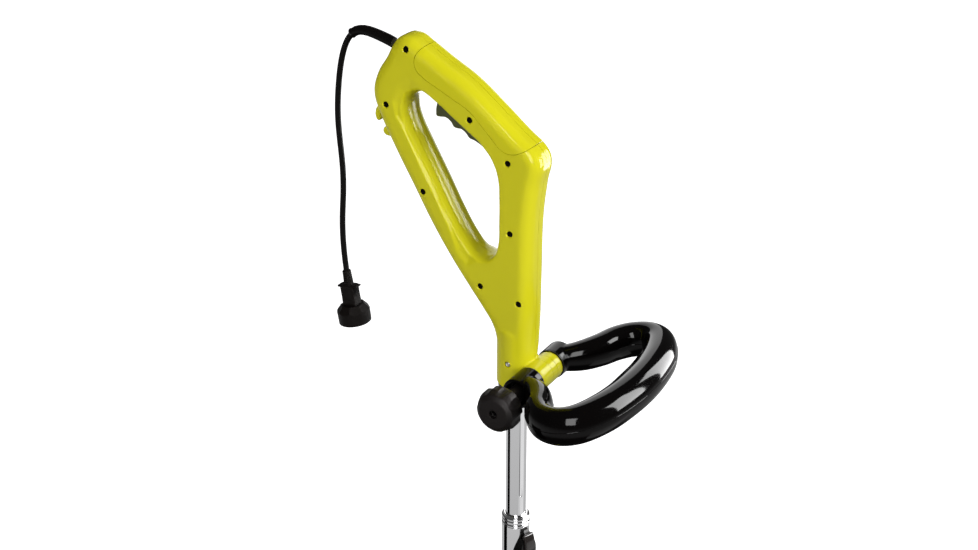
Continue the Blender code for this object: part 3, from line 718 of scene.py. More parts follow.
    def build(self) -> None:
        """Set up everything that isn't the trimmer."""
        self.camera()
        self.floor()
        self.sky()
        bpy.context.scene.view_settings.view_transform = "Standard"
        bar = (0.15, -0.02, 0.033)
        self.soft_box("key_box", -8.0, 22.0, 2.4, (1.0, 1.3), 1.02)
        self.soft_box("fill_box", -102.0, 14.0, 2.4, (1.4, 1.6), 0.50)
        self.soft_box("top_box", 70.0, 62.0, 2.4, (1.2, 1.2), 0.28)
        self.soft_box("band_box", -60.0, 24.0, 2.3, (1.0, 1.5), 1.15, Reach.MIRRORED)
        self.soft_box("bar_box_near", 29.0, 21.0, 0.6, (0.30, 0.50), 2.8, Reach.MIRRORED, bar)
        self.soft_box("bar_box_far", 68.0, 12.0, 0.6, (0.20, 0.56), 1.4, Reach.MIRRORED, bar)
        self.soft_box("slope_box", 128.0, 18.0, 0.6, (0.34, 0.50), 0.3, Reach.MIRRORED, bar)
        self.card("dark_card", 211.0, 0.6, 0.38, -1.00, -0.36, 0.0)
        self.card("pale_card", 12.0, 0.7, 0.60, -1.00, -0.38, 0.85)


# ---------------------------------------------------------------- handle casing
@dataclass
class HandleCasing:
    """Two lime shells and the grip's covers, with screws, hooks and the tube socket."""

    half: float = 19.5
    edge: float = 13.0
    wall: float = 2.6
    sleeve_r: float = 21.5
    sleeve_low: float = -19.0
    socket_top: float = 78.0
    boss_r: float = 15.5
    boss_half: float = 20.5
    pivot: tuple[float, float] = (29.0, -1.0)
    hole_r: float = 3.2
    screw_seat: float = -9.0
    trigger_half: float = 6.6
    voxel: float = 0.9
    seam: float = 0.16
    outline: tuple[tuple[float, float], ...] = (
        (-148, 321), (-160.5, 301), (-165.5, 279), (-157.5, 255.5), (-139.7, 221.3), (-118.6, 185.3),
        (-97.6, 149.3), (-73.4, 113.4), (-51, 84.4), (-34.5, 63.7), (-23.6, 48), (-18.6, 30), (-18, 8),
        (-14, -8), (0, -10), (14, -8), (18.6, 10), (21.3, 40), (22.8, 110), (24, 176), (28.2, 214),
        (32, 240), (25.8, 252), (7, 266), (-22.5, 289), (-51.5, 310), (-82, 326), (-105, 338.5),
        (-119, 345.3), (-132, 343.5), (-141.5, 333))
    window: tuple[tuple[float, float], ...] = (
        (-112.5, 287), (-104.5, 289), (-88, 281.2), (-70, 269.5), (-51, 257.2), (-34, 246), (-21.5, 235),
        (-14.8, 219), (-13, 196), (-13, 172), (-14.3, 144), (-19.5, 130.7), (-30, 125.6), (-42.5, 129),
        (-53.8, 140.5), (-70, 165.5), (-87.5, 197.3), (-105.8, 229.2), (-118.8, 253.3), (-122.5, 267),
        (-120.8, 280))
    panel: tuple[tuple[float, float], ...] = (
        (-88, 362), (-101, 341), (-108, 331), (-110, 322), (-107, 314), (-99, 308), (-84, 301),
        (-62, 291), (-47, 284), (-32, 271), (-18, 257.5), (-8, 249), (4, 248), (19, 255), (36, 270),
        (60, 300), (0, 360))
    screws: tuple[tuple[float, float], ...] = (
        (-120, 334), (-146, 271), (-46, 274), (-2, 237), (-103, 184), (1, 161), (-34, 93), (11.5, 84))
    tube_screw: tuple[float, float] = (0.3, 10.6)
    tube_screw_seat: float = -18.0
    post_r: float = 5.2
    recess: tuple[tuple[float, float], ...] = (
        (-116, 298), (-127, 291), (-134.5, 277), (-133, 262), (-123.8, 247.5), (-105.1, 213.0),
        (-82.6, 173.4), (-68.4, 146.3), (-60, 128), (-50, 116.5), (-42.5, 120.5), (-37, 140), (-60, 185),
        (-90, 238), (-104, 270), (-103, 292))
    flare: float = 5.5
    flare_reach: float = 13.0
    flare_least: float = 0.2
    flare_fade: tuple[float, float] = (-14.0, 24.0)
    opening_x: tuple[float, float] = (-140.0, 0.0)
    opening_z: tuple[float, float] = (105.0, 310.0)
    recess_depth: float = 1.9
    recess_slope: float = 4.0
    recess_x: tuple[float, float] = (-150.0, -25.0)
    recess_z: tuple[float, float] = (105.0, 305.0)
    fade_above: tuple[float, float] = (262.0, 0.35)
    fade_below: tuple[float, float] = (142.0, 0.2)

    def skin(self) -> Object:
        """The whole outer form with soft blends and the sunk band beside the hand opening."""
        body = plate("casing_form", (self.outline,), self.half, self.edge, fine=8, rounds=8)
        cut(body, plate("hand_opening", (self.window,), 60, fine=8))
        sleeve = turned("sleeve", ((0, 56), (self.sleeve_r, 50, 8), (self.sleeve_r, self.sleeve_low, 0.8),
                                   (0, self.sleeve_low)))
        x, z = self.pivot
        boss = rod("boss", self.boss_r, -self.boss_half, self.boss_half, seat((x, 0, z), (90, 0, 0)), 72, 0.6)
        web = block("web", (x - 4, 2 * self.boss_half - 12, 27), seat((x - 13, 0, z)), 6.0)
        form = blended(gather("casing_form", body, sleeve, web), self.voxel, 16)
        fuse(form, boss, solver=Solver.FAST)
        blended(form, self.voxel, 4)
        self.crown(form)
        self.sink(form)
        return form

    def crown(self, form: Object) -> None:
        """Round the hand opening's walls, so that they stand out most at the moulding seam."""
        run = smooth_run(self.window, 1.0, closed=True)
        tree = KDTree(len(run))
        for i, here in enumerate(run):
            tree.insert((here.x, here.y, 0), i)
        tree.balance()
        for vert in form.data.vertices:
            x, y, z = vert.co / MM
            if not (self.opening_x[0] < x < self.opening_x[1] and self.opening_z[0] < z < self.opening_z[1]):
                continue
            _, i, away = tree.find((x, z, 0))
            if away > self.flare_reach:
                continue
            along = (run[(i + 1) % len(run)] - run[i - 1]).normalized()
            start, width = self.flare_fade
            share = min(1.0, max(self.flare_least, (start - run[i].x) / width))
            share *= 1 - away / self.flare_reach
            by = self.flare * share * (y / self.half) ** 2
            vert.co.x -= along.y * by * MM
            vert.co.z += along.x * by * MM

    def sink(self, form: Object) -> None:
        """Lower both faces a little between the left member's outer strip and the hand opening."""
        line = [Vector(p) for p in self.recess]
        (low_x, high_x), (low_z, high_z) = self.recess_x, self.recess_z
        (above, rate_above), (below, rate_below) = self.fade_above, self.fade_below
        for vert in form.data.vertices:
            here = Vector((vert.co.x, vert.co.z)) / MM
            if abs(vert.co.y) < 10 * MM or not (low_x < here.x < high_x and low_z < here.y < high_z):
                continue
            inside, best = False, 1e9
            for a, b in zip(line, line[1:] + line[:1]):
                _, share = intersect_point_line(here, a, b)
                foot = a + (b - a) * min(1.0, max(0.0, share))
                best = min(best, (here - foot).length)
                crosses = (a.y > here.y) != (b.y > here.y)
                if crosses and here.x < (b.x - a.x) * (here.y - a.y) / (b.y - a.y) + a.x:
                    inside = not inside
            slope = (self.recess_slope + max(0.0, here.y - above) * rate_above
                     + max(0.0, below - here.y) * rate_below)
            t = min(1.0, max(0.0, 0.5 + (best if inside else -best) / slope))
            depth = self.recess_depth * t * t * (3 - 2 * t)
            vert.co.y -= math.copysign(depth * MM, vert.co.y)

    def cavity(self) -> Object:
        """The hollow, with the tube socket and the screw posts left standing."""
        hollow = plate("cavity", (self.outline, self.window), self.half - self.wall, self.edge - self.wall,
                       self.wall, fine=3, rounds=3)
        keep = [block("socket_keep", (120, 120, 200), seat((0, 0, self.socket_top - 100)))]
        keep += [rod("post", self.post_r, -40, 40, seat((x, 0, z), (90, 0, 0)), 24) for x, z in self.screws]
        return cut(hollow, *keep)

    def openings(self) -> list[Object]:
        """Everything that is bored or slotted through the casing, as cutters."""
        x, z = self.pivot
        tools = [rod("tube_bore", 11.6, self.sleeve_low - 20, self.socket_top + 8, steps=64),
                 block("trigger_slot", (78, 2 * self.trigger_half + 1.6, 26),
                       seat((-63.5, 0, 263.5), (0, 32.5, 0)), 1.0),
                 rod("pin_bore", 2.3, -14, 14, seat((-28, 0, 256), (90, 0, 0))),
                 rod("gland_bore", 6.1, -20, 14, seat((-143, 0, 331), (0, -77, 0))),
                 block("hook_slot", (14, 9.2, 24.6), seat((-157.6, 0, 247.5), (0, -26, 0)))]
        cut_through = gather("casing_openings", *tools)
        bolt = rod("bolt_bore", 4.4, -60, 60, seat((x, 0, z), (90, 0, 0)))
        line = ring("boss_line", self.boss_r + 5, self.boss_r - 0.7, 9.6, 10.1,
                    seat((x, 0, z), (-90, 0, 0)), 0.1)
        collar_line = ring("boss_line", self.boss_r + 5, self.boss_r - 0.5, 18.2, 18.6,
                           seat((x, 0, z), (-90, 0, 0)), 0.1)
        heads = [turned("screw_well", ((0, 40), (self.hole_r + 4, 40), (self.hole_r + 4, self.half + 3),
                                       (self.hole_r + 0.75, self.half - 0.1), (self.hole_r, self.half - 0.9),
                                       (self.hole_r, -self.screw_seat), (0, -self.screw_seat)),
                        seat((px, 0, pz), (90, 0, 0)), 32) for px, pz in self.screws]
        px, pz = self.tube_screw
        heads.append(turned("tube_screw_well", ((0, 40), (4.2, 40), (4.2, 22), (3.6, 20.9), (3.3, 20.2),
                                                (3.3, 17.7), (1.9, 17.7), (1.9, 8), (0, 8)),
                            seat((px, 0, pz), (90, 0, 0)), 40))
        return [cut_through, bolt, gather("screw_wells", *heads), gather("boss_lines", line, collar_line)]

    def build(self) -> None:
        """Make both shells and both grip covers."""
        form = self.skin()
        cut(form, self.cavity(), solver=Solver.FAST)
        cut(form, *self.openings(), solver=Solver.FAST)
        for side in Side:
            sign = side.value
            half = block("half", (2 * BIG, 60, 2 * BIG), seat((0, sign * (30 + self.seam), 200)))
            shell = copy_of(form, f"casing_shell_{side.word}")
            trim(shell, copy_of(half, "half_copy"), solver=Solver.FAST)
            cover = copy_of(shell, f"grip_cover_{side.word}")
            cut(shell, plate("panel_gap", (self.panel,), 40, inset=-0.22), solver=Solver.FAST)
            trim(cover, plate("panel_shape", (self.panel,), 40, inset=0.22), solver=Solver.FAST)
            bpy.data.objects.remove(half)
            for piece, finish, slot, node in ((shell, LIME, "casing_lime", f"handle_shell_{side.word}"),
                                              (cover, PANEL_LIME, "panel_lime", f"grip_panel_{side.word}")):
                self.paint_well_shade(dress(piece, "handle", finish, slot, node, sharp=40))
        bpy.data.objects.remove(form)
        self.build_screws()
        self.build_hooks()

    def paint_well_shade(self, piece: Object) -> None:
        """Paint shade on the walls of the deep screw wells: their faces get a near-black lime that stands in
        for the shadow inside them.
        """
        piece.data.materials.append(WELL_PAINTED_SHADE.material())
        # painted shade: well wall faces below the casing face take the near-black lime in place of real
        # shadow
        for face in piece.data.polygons:
            x, y, z = face.center / MM
            if self.screw_seat > y > -self.half + 0.8 and any(
                    math.hypot(x - px, z - pz) < self.hole_r + 0.35 for px, pz in self.screws):
                face.material_index = 1

    def build_screws(self) -> None:
        """Cross-head screws: eight deep in their wells, and a short one that holds the tube."""
        spots = [(x, self.screw_seat, z, 20.0, 2.0, DARK_STEEL) for x, z in self.screws]
        spots.append((self.tube_screw[0], self.tube_screw_seat, self.tube_screw[1], 5.6, 2.9, STEEL))
        for i, (x, y, z, length, head, finish) in enumerate(spots, 1):
            place = seat((x, y, z), (90, 0, 0))
            screw = turned(f"casing_screw_{i}", ((0, head), (2.5, head - 0.3, 1.0), (2.85, head * 0.45, 0.4),
                                                 (2.85, 0.3, 0.1), (1.6, 0.3), (1.6, 0.8 - length, 0.4),
                                                 (0, -length)), place, 48)
            arms = [block("arm", size, place @ seat((0, 0, head), (0, 0, 25))) for size in
                    ((3.4, 0.75, 1.6), (0.75, 3.4, 1.6))]
            dress(cut(screw, *arms), "handle", finish, "zinc_steel", f"handle_screw_{i}")

    def build_hooks(self) -> None:
        """The two-pronged cord hook behind the casing."""
        x, z = -157.6, 247.5
        base = block("cord_hook", (7.5, 8.4, 24), seat((x + 0.6, 0, z), (0, -26, 0)), 1.2)
        upper = plate("upper_prong", (((-156, 264), (-163, 263.6), (-168, 259.8), (-170.3, 254),
                                       (-170, 248.2), (-167.8, 244.9), (-164.8, 245.4), (-163.6, 248.5),
                                       (-164.3, 253), (-162.8, 257), (-159.5, 258.8), (-155, 259)),), 4.2,
                      1.7)
        lower = plate("lower_prong", (((-152, 241), (-158.6, 239.4), (-161.2, 235.2), (-159.4, 231.2),
                                       (-155, 229.9), (-149, 231), (-148, 238)),), 4.2, 1.8)
        dress(fuse(base, upper, lower), "handle", LIME, "hook_lime", "cord_retainer")


@dataclass
class TriggerSet:
    """The rocking trigger with its finger waves, its pin and spring."""

    pivot: tuple[float, float] = (-28.0, 256.0)
    half: float = 6.6
    outline: tuple[tuple[float, float], ...] = (
        (-92, 281), (-94.2, 269.5), (-93.2, 264.9), (-89.5, 264.6), (-82.3, 265), (-76.2, 261.4),
        (-72.9, 256.9), (-69, 256.1), (-64, 256.1), (-58.8, 253), (-54.3, 248.4), (-49, 247.2),
        (-43.5, 245), (-38, 242.8), (-29, 246.5), (-22, 252), (-23, 259), (-29, 262), (-46, 264.5),
        (-60, 272), (-78, 283), (-88, 290))

    def build(self) -> None:
        """Make the trigger and its spring."""
        x, z = self.pivot
        body = plate("trigger_lever", (self.outline,), self.half, 2.4, fine=10, rounds=6)
        cut(body, rod("bore", 2.3, -20, 20, seat((x, 0, z), (90, 0, 0))))
        dress(body, "trigger", OLIVE, "trigger_olive", "trigger")
        pin = rod("trigger_pivot_pin", 2.0, -13.6, 13.6, seat((x, 0, z), (90, 0, 0)), 40, 0.4)
        dress(pin, "handle", STEEL, "zinc_steel", "trigger_pin")
        spring = tube("trigger_return_spring", coil(2.6, 0.6, 10.5, 5), 0.45, seat((-86, 0, 290.6)), 10)
        dress(spring, "handle", STEEL, "zinc_steel", "trigger_spring")


# ---------------------------------------------------------------- mains lead
@dataclass
class MainsLead:
    """The short hanging lead, its tapered strain relief and its plug."""

    diameter: float = 6.5
    length: float = 0.33
    easings: int = 6
    relief_x: float = -199.5
    relief_lift: float = 0.35
    relief_r: tuple[float, float] = (5.75, 4.9)
    boot_ribs: int = 6
    plug_tilt: float = 8.7
    route: tuple[tuple[float, float], ...] = (
        (-153, 333), (-165, 336), (-177.5, 338.8), (-189, 339.2), (-198.3, 334.6), (-205.3, 325),
        (-210.8, 311.5), (-215, 296), (-217.8, 279.5), (-220.1, 262), (-221.4, 244), (-221.2, 224),
        (-219.7, 204), (-218.2, 184), (-218, 164), (-219.2, 144), (-221.2, 124), (-222.1, 105),
        (-221.9, 88), (-220.9, 70.5), (-219.2, 55))

    def build(self) -> None:
        """Make the lead first, then what is on it."""
        run = smooth_run([(x, 0, z) for x, z in self.route], self.diameter * 0.8)
        for _ in range(self.easings):
            eased = [(a + 2 * b + c) / 4 for a, b, c in zip(run[1:], run[2:], run[3:])]
            run = run[:2] + eased + run[-1:]
        data = bpy.data.curves.new("mains_lead", "CURVE")
        data.dimensions, data.bevel_depth, data.bevel_resolution = "3D", self.diameter / 2 * MM, 8
        data.use_fill_caps = True
        spline = data.splines.new("POLY")
        spline.points.add(len(run) - 1)
        for point, co in zip(spline.points, run):
            point.co = (*(co * MM), 1)
        spline.use_smooth = True
        lead = bpy.data.objects.new("mains_lead", data)
        bpy.context.scene.collection.objects.link(lead)
        dress(lead, "handle", CORD_SHEATH, "cord_pvc", "power_cord")
        pieces = [self.relief(run), *self.plug()]

    def relief(self, run: Sequence[Vector]) -> Object:
        """A tapered sleeve that bends with the lead's first stretch."""
        reach = [p for p in run if p.x > self.relief_x]
        lifted = [p + Vector((0, 0, self.relief_lift)) for p in reach]
        count = len(lifted)
        first, last = self.relief_r
        radii = [first - (first - last) * i / (count - 1) for i in range(count)]
        end, ahead = lifted[-1], (reach[-1] - reach[-2]).normalized()
        lifted += [end + ahead * 0.5, end + ahead * 1.4, end + ahead * 2.0]
        radii += [5.3, 5.3, 4.4]
        sleeve = tube("lead_strain_relief", [reach[0] - (reach[1] - reach[0])] + lifted, [5.7] + radii,
                      sides=40)
        return dress(sleeve, "handle", CORD_SHEATH, "cord_pvc", "cord_strain_relief")

    def plug(self) -> list[Object]:
        """Ribbed boot, flat-sided body, round skirt and two blades."""
        hang = seat((self.route[-1][0], 0, self.route[-1][1]), (0, -self.plug_tilt, 0))
        profile: list[tuple[float, ...]] = [(3.35, 0.8), (4.2, 0.8, 0.3)]
        for k in range(self.boot_ribs):
            z, r = -0.6 - 2.5 * k, 4.9 + 0.1 * k
            profile += [(r, z + 0.6, 0.3), (r, z - 0.9, 0.3), (r - 0.8, z - 1.0, 0.2),
                        (r - 0.8, z - 1.8, 0.2)]
        profile += [(5.6, -15.4, 0.3), (5.6, -17.0), (0, -17.0), (0, -1.2), (3.35, -1.2)]
        boot = turned("plug_bend_boot", profile, hang, 56)
        sections = [[(sx * w, sy * d, z) for sx, sy in filleted(((-1, -1, 0.22), (1, -1, 0.22), (1, 1, 0.22),
                                                                 (-1, 1, 0.22)), 4, True)]
                    for z, w, d in ((-16.4, 8.4, 5.6), (-17.0, 9.0, 6.2), (-30.0, 8.6, 6.6),
                                    (-39.4, 8.9, 6.8))]
        body = loft("plug_grip", sections, hang)
        wings = plate("plug_wings", (filleted(((-12.8, -16.6, 0.5), (12.8, -16.6, 0.5), (12.2, -18.7, 0.5),
                                               (-12.2, -18.7, 0.5)), closed=True),), 5.2, 0.6, place=hang,
                      smooth=False)
        panel = [block("grip_panel", (9.5, 1.0, 13), hang @ Matrix.Translation((0, 6.7 * sign, -27)), 0.45)
                 for sign in (-1, 1)]
        fuse(body, wings)
        cut(body, *panel)
        skirt = turned("plug_skirt_ring", ((0, -39.7), (15.4, -39.7, 0.8), (18.6, -43.4, 0.7),
                                           (18.3, -60.9, 0.9), (17.4, -61.6, 0.5), (16.1, -61.6, 0.4),
                                           (15.7, -48, 1), (0, -46.8)),
                       hang, 96)
        lean = seat((20.4, 0, 0), (0, -38, 0))
        faces = [block("flat", (14, 60, 16), seat((0, 0, -38.5), (0, 0, a), hang) @ lean)
                 for a in range(0, 360, 45)]
        cut(skirt, *faces)
        slots, blades = [], []
        for x, word in ((-6.3, "a"), (6.3, "b")):
            slots.append(block("slot", (2.2, 7.0, 18), hang @ Matrix.Translation((x, 0, -48))))
            blade = block(f"plug_pin_{word}", (1.5, 6.3, 14.6), hang @ Matrix.Translation((x, 0, -50.4)), 0.3)
            cut(blade, rod("hole", 1.5, -4, 4, hang @ seat((x, 0, -54.5), (0, 90, 0)), 24))
            blades.append(dress(blade, "handle", BRASS, "plug_brass", f"plug_blade_{word}"))
        cut(skirt, *slots)
        return [dress(boot, "handle", PLUG_RUBBER, "cord_pvc", "plug_boot"),
                dress(body, "handle", PLUG_RUBBER, "cord_pvc", "plug_body"),
                dress(skirt, "handle", PLUG_RUBBER, "cord_pvc", "plug_skirt"), *blades]


# ---------------------------------------------------------------- loop handle
@dataclass
class LoopHandle:
    """The gloss black loop, its pivot washers, bolt and clamp knob."""

    pivot: tuple[float, float] = (29.0, -1.0)
    tilt: float = 10.0
    hub_r: float = 16.6
    hub_in: float = 22.6
    hub_out: float = 52.0
    cup_r: float = 12.6
    boss_r: float = 15.5
    bolt_r: float = 3.8
    knob_r: float = 23.5
    lobes: int = 8
    scoop_r: float = 7.4
    scoop_offset: float = 4.8
    scoop_edge: float = 1.2
    knob_sides: int = 192
    voxel: float = 0.8
    stations: tuple[tuple[float, ...], ...] = (
        (0, 38, 12.0, 12.0, 13.5), (12, 41, 12.5, 12.5, 15.0), (25, 50.5, 13.5, 13.5, 16.7),
        (37, 67, 14.0, 14.0, 18.0), (46, 85, 14.0, 14.0, 19.0), (60, 98.5, 14.0, 14.0, 19.3),
        (79, 102, 14.5, 14.5, 19.7), (96, 91, 16.5, 16.5, 20.0), (108, 64, 18.5, 20.0, 20.3),
        (113.5, 33, 19.5, 24.0, 20.3), (115.5, 0, 20.0, 26.0, 20.3))

    def frame(self) -> Matrix:
        """The loop's own frame: X out along the loop, Y along the pivot."""
        return seat((self.pivot[0], 0, self.pivot[1]), (0, -self.tilt, 0))

    def path(self, step: float = 3.0) -> list[tuple[float, ...]]:
        """Stations all the way round: distance out, side step, outer and inner half width, half height."""
        run = list(self.stations) + [(s, -y, *sizes) for s, y, *sizes in self.stations[-2::-1]]
        rows = [smooth_run([(s, y, size) for s, y, *sizes in run for size in sizes[k:k + 1]], step)
                for k in range(3)]
        count = min(len(row) for row in rows)
        return [(rows[0][i].x, rows[0][i].y, *(row[i].z for row in rows)) for i in range(count)]

    def sections(self, sides: int = 64) -> Iterator[tuple[Vector, Vector, Vector, list[Vector]]]:
        """Each section: centre, outer and inner reach, points; the bar has a ridge on its inner side."""
        run = self.path()
        for i, (s, y, outer, inner, half) in enumerate(run):
            before, after = run[max(i - 1, 0)], run[min(i + 1, len(run) - 1)]
            along = Vector((after[0] - before[0], after[1] - before[1], 0)).normalized()
            across = Vector((-along.y, along.x, 0))
            centre = Vector((s, y, 0))
            ridge = 0.9 + 0.42 * min(1.0, max(0.0, (inner - outer) / 5))
            points = []
            for t in (math.tau * k / sides for k in range(sides)):
                power = 0.9 if math.cos(t) > 0 else ridge
                c = math.copysign(abs(math.cos(t)) ** power, math.cos(t))
                up = math.copysign(abs(math.sin(t)) ** power, math.sin(t))
                points.append(centre + across * c * (outer if c > 0 else inner) + Vector((0, 0, half * up)))
            yield centre, across * outer, across * -inner, points

    def build(self) -> None:
        """Make the loop, the pivot hardware and the knob."""
        place = self.frame()
        rings = list(self.sections())
        solids = [loft("loop", [points for *_, points in rings], place)]
        tools = []
        for side in Side:
            out = self.hub_out if side is Side.RIGHT else self.hub_out - 6
            turn = (90, 0, 0) if side is Side.RIGHT else (-90, 0, 0)
            solids.append(rod("hub", self.hub_r, self.hub_in - 3, out, seat(turn=turn, parent=place), 72,
                              1.8))
            tools.append(rod("hub_face", self.hub_r + 14, 0, self.hub_in, seat(turn=turn, parent=place), 72))
            tools.append(turned("hub_cup", ((0, out + 30), (self.cup_r + 2.5, out + 30),
                                            (self.cup_r + 2.5, out + 0.9),
                                            (self.cup_r + 0.1, out - 0.5, 0.8), (self.cup_r, out - 12, 1.5),
                                            (0, out - 12)), seat(turn=turn, parent=place), 72))
        loop = blended(gather("loop_form", *solids), self.voxel, 12)
        tools.append(rod("bolt_way", self.bolt_r + GAP, -90, 90, seat(turn=(90, 0, 0), parent=place)))
        for tool in tools:
            cut(loop, tool, solver=Solver.FAST)
        seams = [tube("seam", [c + out for c, out, _, _ in rings[16:-16]], 0.3, place, 8),
                 tube("seam", [c + back for c, _, back, _ in rings[16:-16]], 0.35, place, 8)]
        loop = gather("front_loop_handle", loop, *seams)
        dress(loop, "aux_handle", GLOSS_BLACK, "loop_gloss_black", "aux_handle_loop", sharp=40)
        self.build_hardware(place)
        self.build_knob(place)

    def build_hardware(self, place: Matrix) -> None:
        """Pivot washers and the clamp bolt."""
        for side in Side:
            turn = (90, 0, 0) if side is Side.RIGHT else (-90, 0, 0)
            washer = ring(f"friction_washer_{side.word}", self.boss_r + 0.9, self.bolt_r + 0.6, 20.8, 22.3,
                          seat(turn=turn, parent=place), 0.3)
            dress(washer, "handle", SATIN_BLACK, "black_plastic", f"pivot_washer_{side.word}")
        head = self.hub_out - 18
        bolt = turned("clamp_through_bolt", ((0, 84), (self.bolt_r, 84, 0.6), (self.bolt_r, -head - GAP),
                                             (9, -head - GAP, 0.3), (8.6, -head - 4.2, 1.6),
                                             (0, -head - 5.6)),
                      seat(turn=(90, 0, 0), parent=place), 64)
        arms = [block("arm", size, seat((0, 0, -head - 5), parent=seat(turn=(90, 0, 0), parent=place)))
                for size in ((7, 1.2, 3.2), (1.2, 7, 3.2))]
        dress(cut(bolt, *arms), "aux_handle", STEEL, "zinc_steel", "clamp_bolt")

    def build_knob(self, place: Matrix) -> None:
        """A lobed clamp knob with a dished face, from sections across its axis."""
        outer = filleted(((4.3, 43), (8.6, 43, 0.5), (9.4, 71.0, 3.0), (19.2, 73.4, 1.4),
                          (self.knob_r, 78.6, 2.5), (self.knob_r, 87.5, 4.0), (21.0, 94.6, 3.0),
                          (16.0, 98.0, 3.0), (9.0, 98.2, 1.0), (4.6, 98.0, 0.5), (4.4, 93.6, 0.4),
                          (3.9, 93.4)), 6)
        sides = self.knob_sides
        scoop_at = self.knob_r + self.scoop_offset
        bm = bmesh.new()
        rows = []
        for r, z in outer + [(3.9, 44.0)]:
            row = []
            for k in range(sides):
                angle = math.tau * k / sides
                pitch = math.tau / self.lobes
                off = (angle % pitch) - pitch / 2
                reach = r
                inside = self.scoop_r ** 2 - (scoop_at * math.sin(off)) ** 2
                if z > 70 and inside > 0:
                    edge = scoop_at * math.cos(off) - math.sqrt(inside)
                    soft = self.scoop_edge
                    mix = max(0.0, soft - abs(r - edge)) / soft
                    reach = min(r, edge) - mix * mix * soft / 4
                row.append(bm.verts.new((reach * math.cos(angle), reach * math.sin(angle), z)))
            rows.append(row)
        for upper, lower in zip(rows, rows[1:]):
            for k in range(sides):
                j = (k + 1) % sides
                bm.faces.new((upper[k], upper[j], lower[j], lower[k]))
        bmesh.ops.remove_doubles(bm, verts=bm.verts, dist=0.001)
        knob = make("lobed_clamp_knob", bm, seat(turn=(90, 0, 0), parent=place))
        dress(knob, "clamp_knob", KNOB_BLACK, "knob_black", "clamp_knob")


# ---------------------------------------------------------------- shaft
@dataclass
class Shaft:
    """Chromed upper and lower tubes, their collar, seal and flip lock."""

    upper_r: float = 11.3
    lower_r: float = 15.6
    wall: float = 1.2
    upper_top: float = 70.0
    upper_low: float = -470.0
    lower_top: float = -200.3
    lower_low: float = -640.0
    lock_turn: float = -20.0
    lever_pivot: tuple[float, float] = (21.5, -252.0)

    def build(self) -> None:
        """Make the tubes and the lock."""
        bore = self.upper_r + GAP
        upper = ring("shaft_tube_upper", self.upper_r, self.upper_r - self.wall, self.upper_low,
                     self.upper_top)
        mark = seat((self.upper_r + 0.75, 0, -161), parent=seat(turn=(0, 0, -32)))
        cut(upper, rod("stop_dimple", 1.0, -2.6, 2.6, mark @ seat(turn=(62, 0, 0)), 24, 0.8))
        dress(upper, "handle", CHROME, "tube_chrome", "upper_tube")
        seal = ring("socket_seal", 20.0, bore, -23.5, -19.3, edge=0.9)
        dress(seal, "handle", SATIN_BLACK, "black_plastic", "tube_seal_ring")
        lower = ring("shaft_tube_lower", self.lower_r, self.lower_r - self.wall, self.lower_low,
                     self.lower_top)
        cut(lower, block("shoe_slot", (12, 11.2, 22.6),
                         seat((16, 0, -228), parent=seat(turn=(0, 0, self.lock_turn))), 1.0))
        dress(lower, "lower_shaft", CHROME, "tube_chrome", "lower_tube")
        collar = turned("shaft_collar", ((bore, -187, 0.2), (13.3, -187, 0.7), (13.8, -188.9, 0.4),
                                         (15.4, -189.9, 0.6), (15.4, -192, 0.7), (14.2, -192.9, 0.3),
                                         (15.3, -193.9, 0.6), (15.3, -196.4, 0.7), (14.4, -197.2, 0.3),
                                         (15.6, -198.2, 0.5), (15.6, -200, 0.2), (bore, -200, 0.1)))
        dress(collar, "lower_shaft", CHROME, "tube_chrome", "tube_collar")
        self.build_lock()

    def build_lock(self) -> None:
        """The black lock body and its flip lever."""
        x, z = self.lever_pivot
        lock = seat(turn=(0, 0, self.lock_turn))
        housing = plate("lock_body", (((8, -201.5), (16, -202), (20, -205.5), (22.6, -216), (23.5, -236),
                                       (24, -254), (22, -262), (15, -266), (8, -266)),), 12.4, 3.6,
                        place=lock, fine=10, rounds=6)
        flare = plate("flare", (((0, -199), (4.4, -207), (8.6, -217), (11.4, -227), (12.8, -237),
                                 (12.8, -270), (-12.8, -270), (-12.8, -237), (-11.4, -227), (-8.6, -217),
                                 (-4.4, -207)),),
                      40, place=lock @ seat(turn=(0, 0, 90)))
        trim(housing, flare)
        cut(housing, rod("tube_way", self.lower_r + 0.1, -290, -190, steps=96),
            block("lever_slot", (19.2, 14.0, 54), seat((26.7, 0, -235), parent=lock), 1.2),
            block("shoe_pocket", (14, 11.2, 22.6), seat((15, 0, -228), parent=lock)),
            rod("pin_bore", 1.9, -14, 14, seat((x, 0, z), (90, 0, 0), lock)))
        dress(housing, "lower_shaft", SATIN_BLACK, "black_plastic", "lock_housing")
        lever = plate("flip_lever", (((-1.3, 45), (0.9, 46), (3.6, 41.4), (5.4, 32), (4.6, 22), (3.0, 12),
                                      (3.4, 3), (3.2, -2.8), (0.5, -4.8), (-3.0, -2.4), (-3.0, 4),
                                      (-1.6, 14)),), 6.6, 1.6, place=seat((x, 0, z), parent=lock), fine=10,
                      rounds=6)
        grooves = [block("thumb_groove", (1.2, 9.0, 1.0),
                         seat((x + 4.2 + 0.5 * k, 0, z + 10 + 3.2 * k), parent=lock), 0.4)
                   for k in range(3)]
        cut(lever, rod("bore", 1.9, -20, 20, seat((x, 0, z), (90, 0, 0), lock)), *grooves)
        dress(lever, "lock_lever", LEVER_GREY, "grey_plastic", "lock_lever")
        pin = rod("flip_lever_pin", 1.6, -10.4, 10.4, seat((x, 0, z), (90, 0, 0), lock), 40, 0.3)
        dress(pin, "lower_shaft", STEEL, "zinc_steel", "lock_lever_pin")


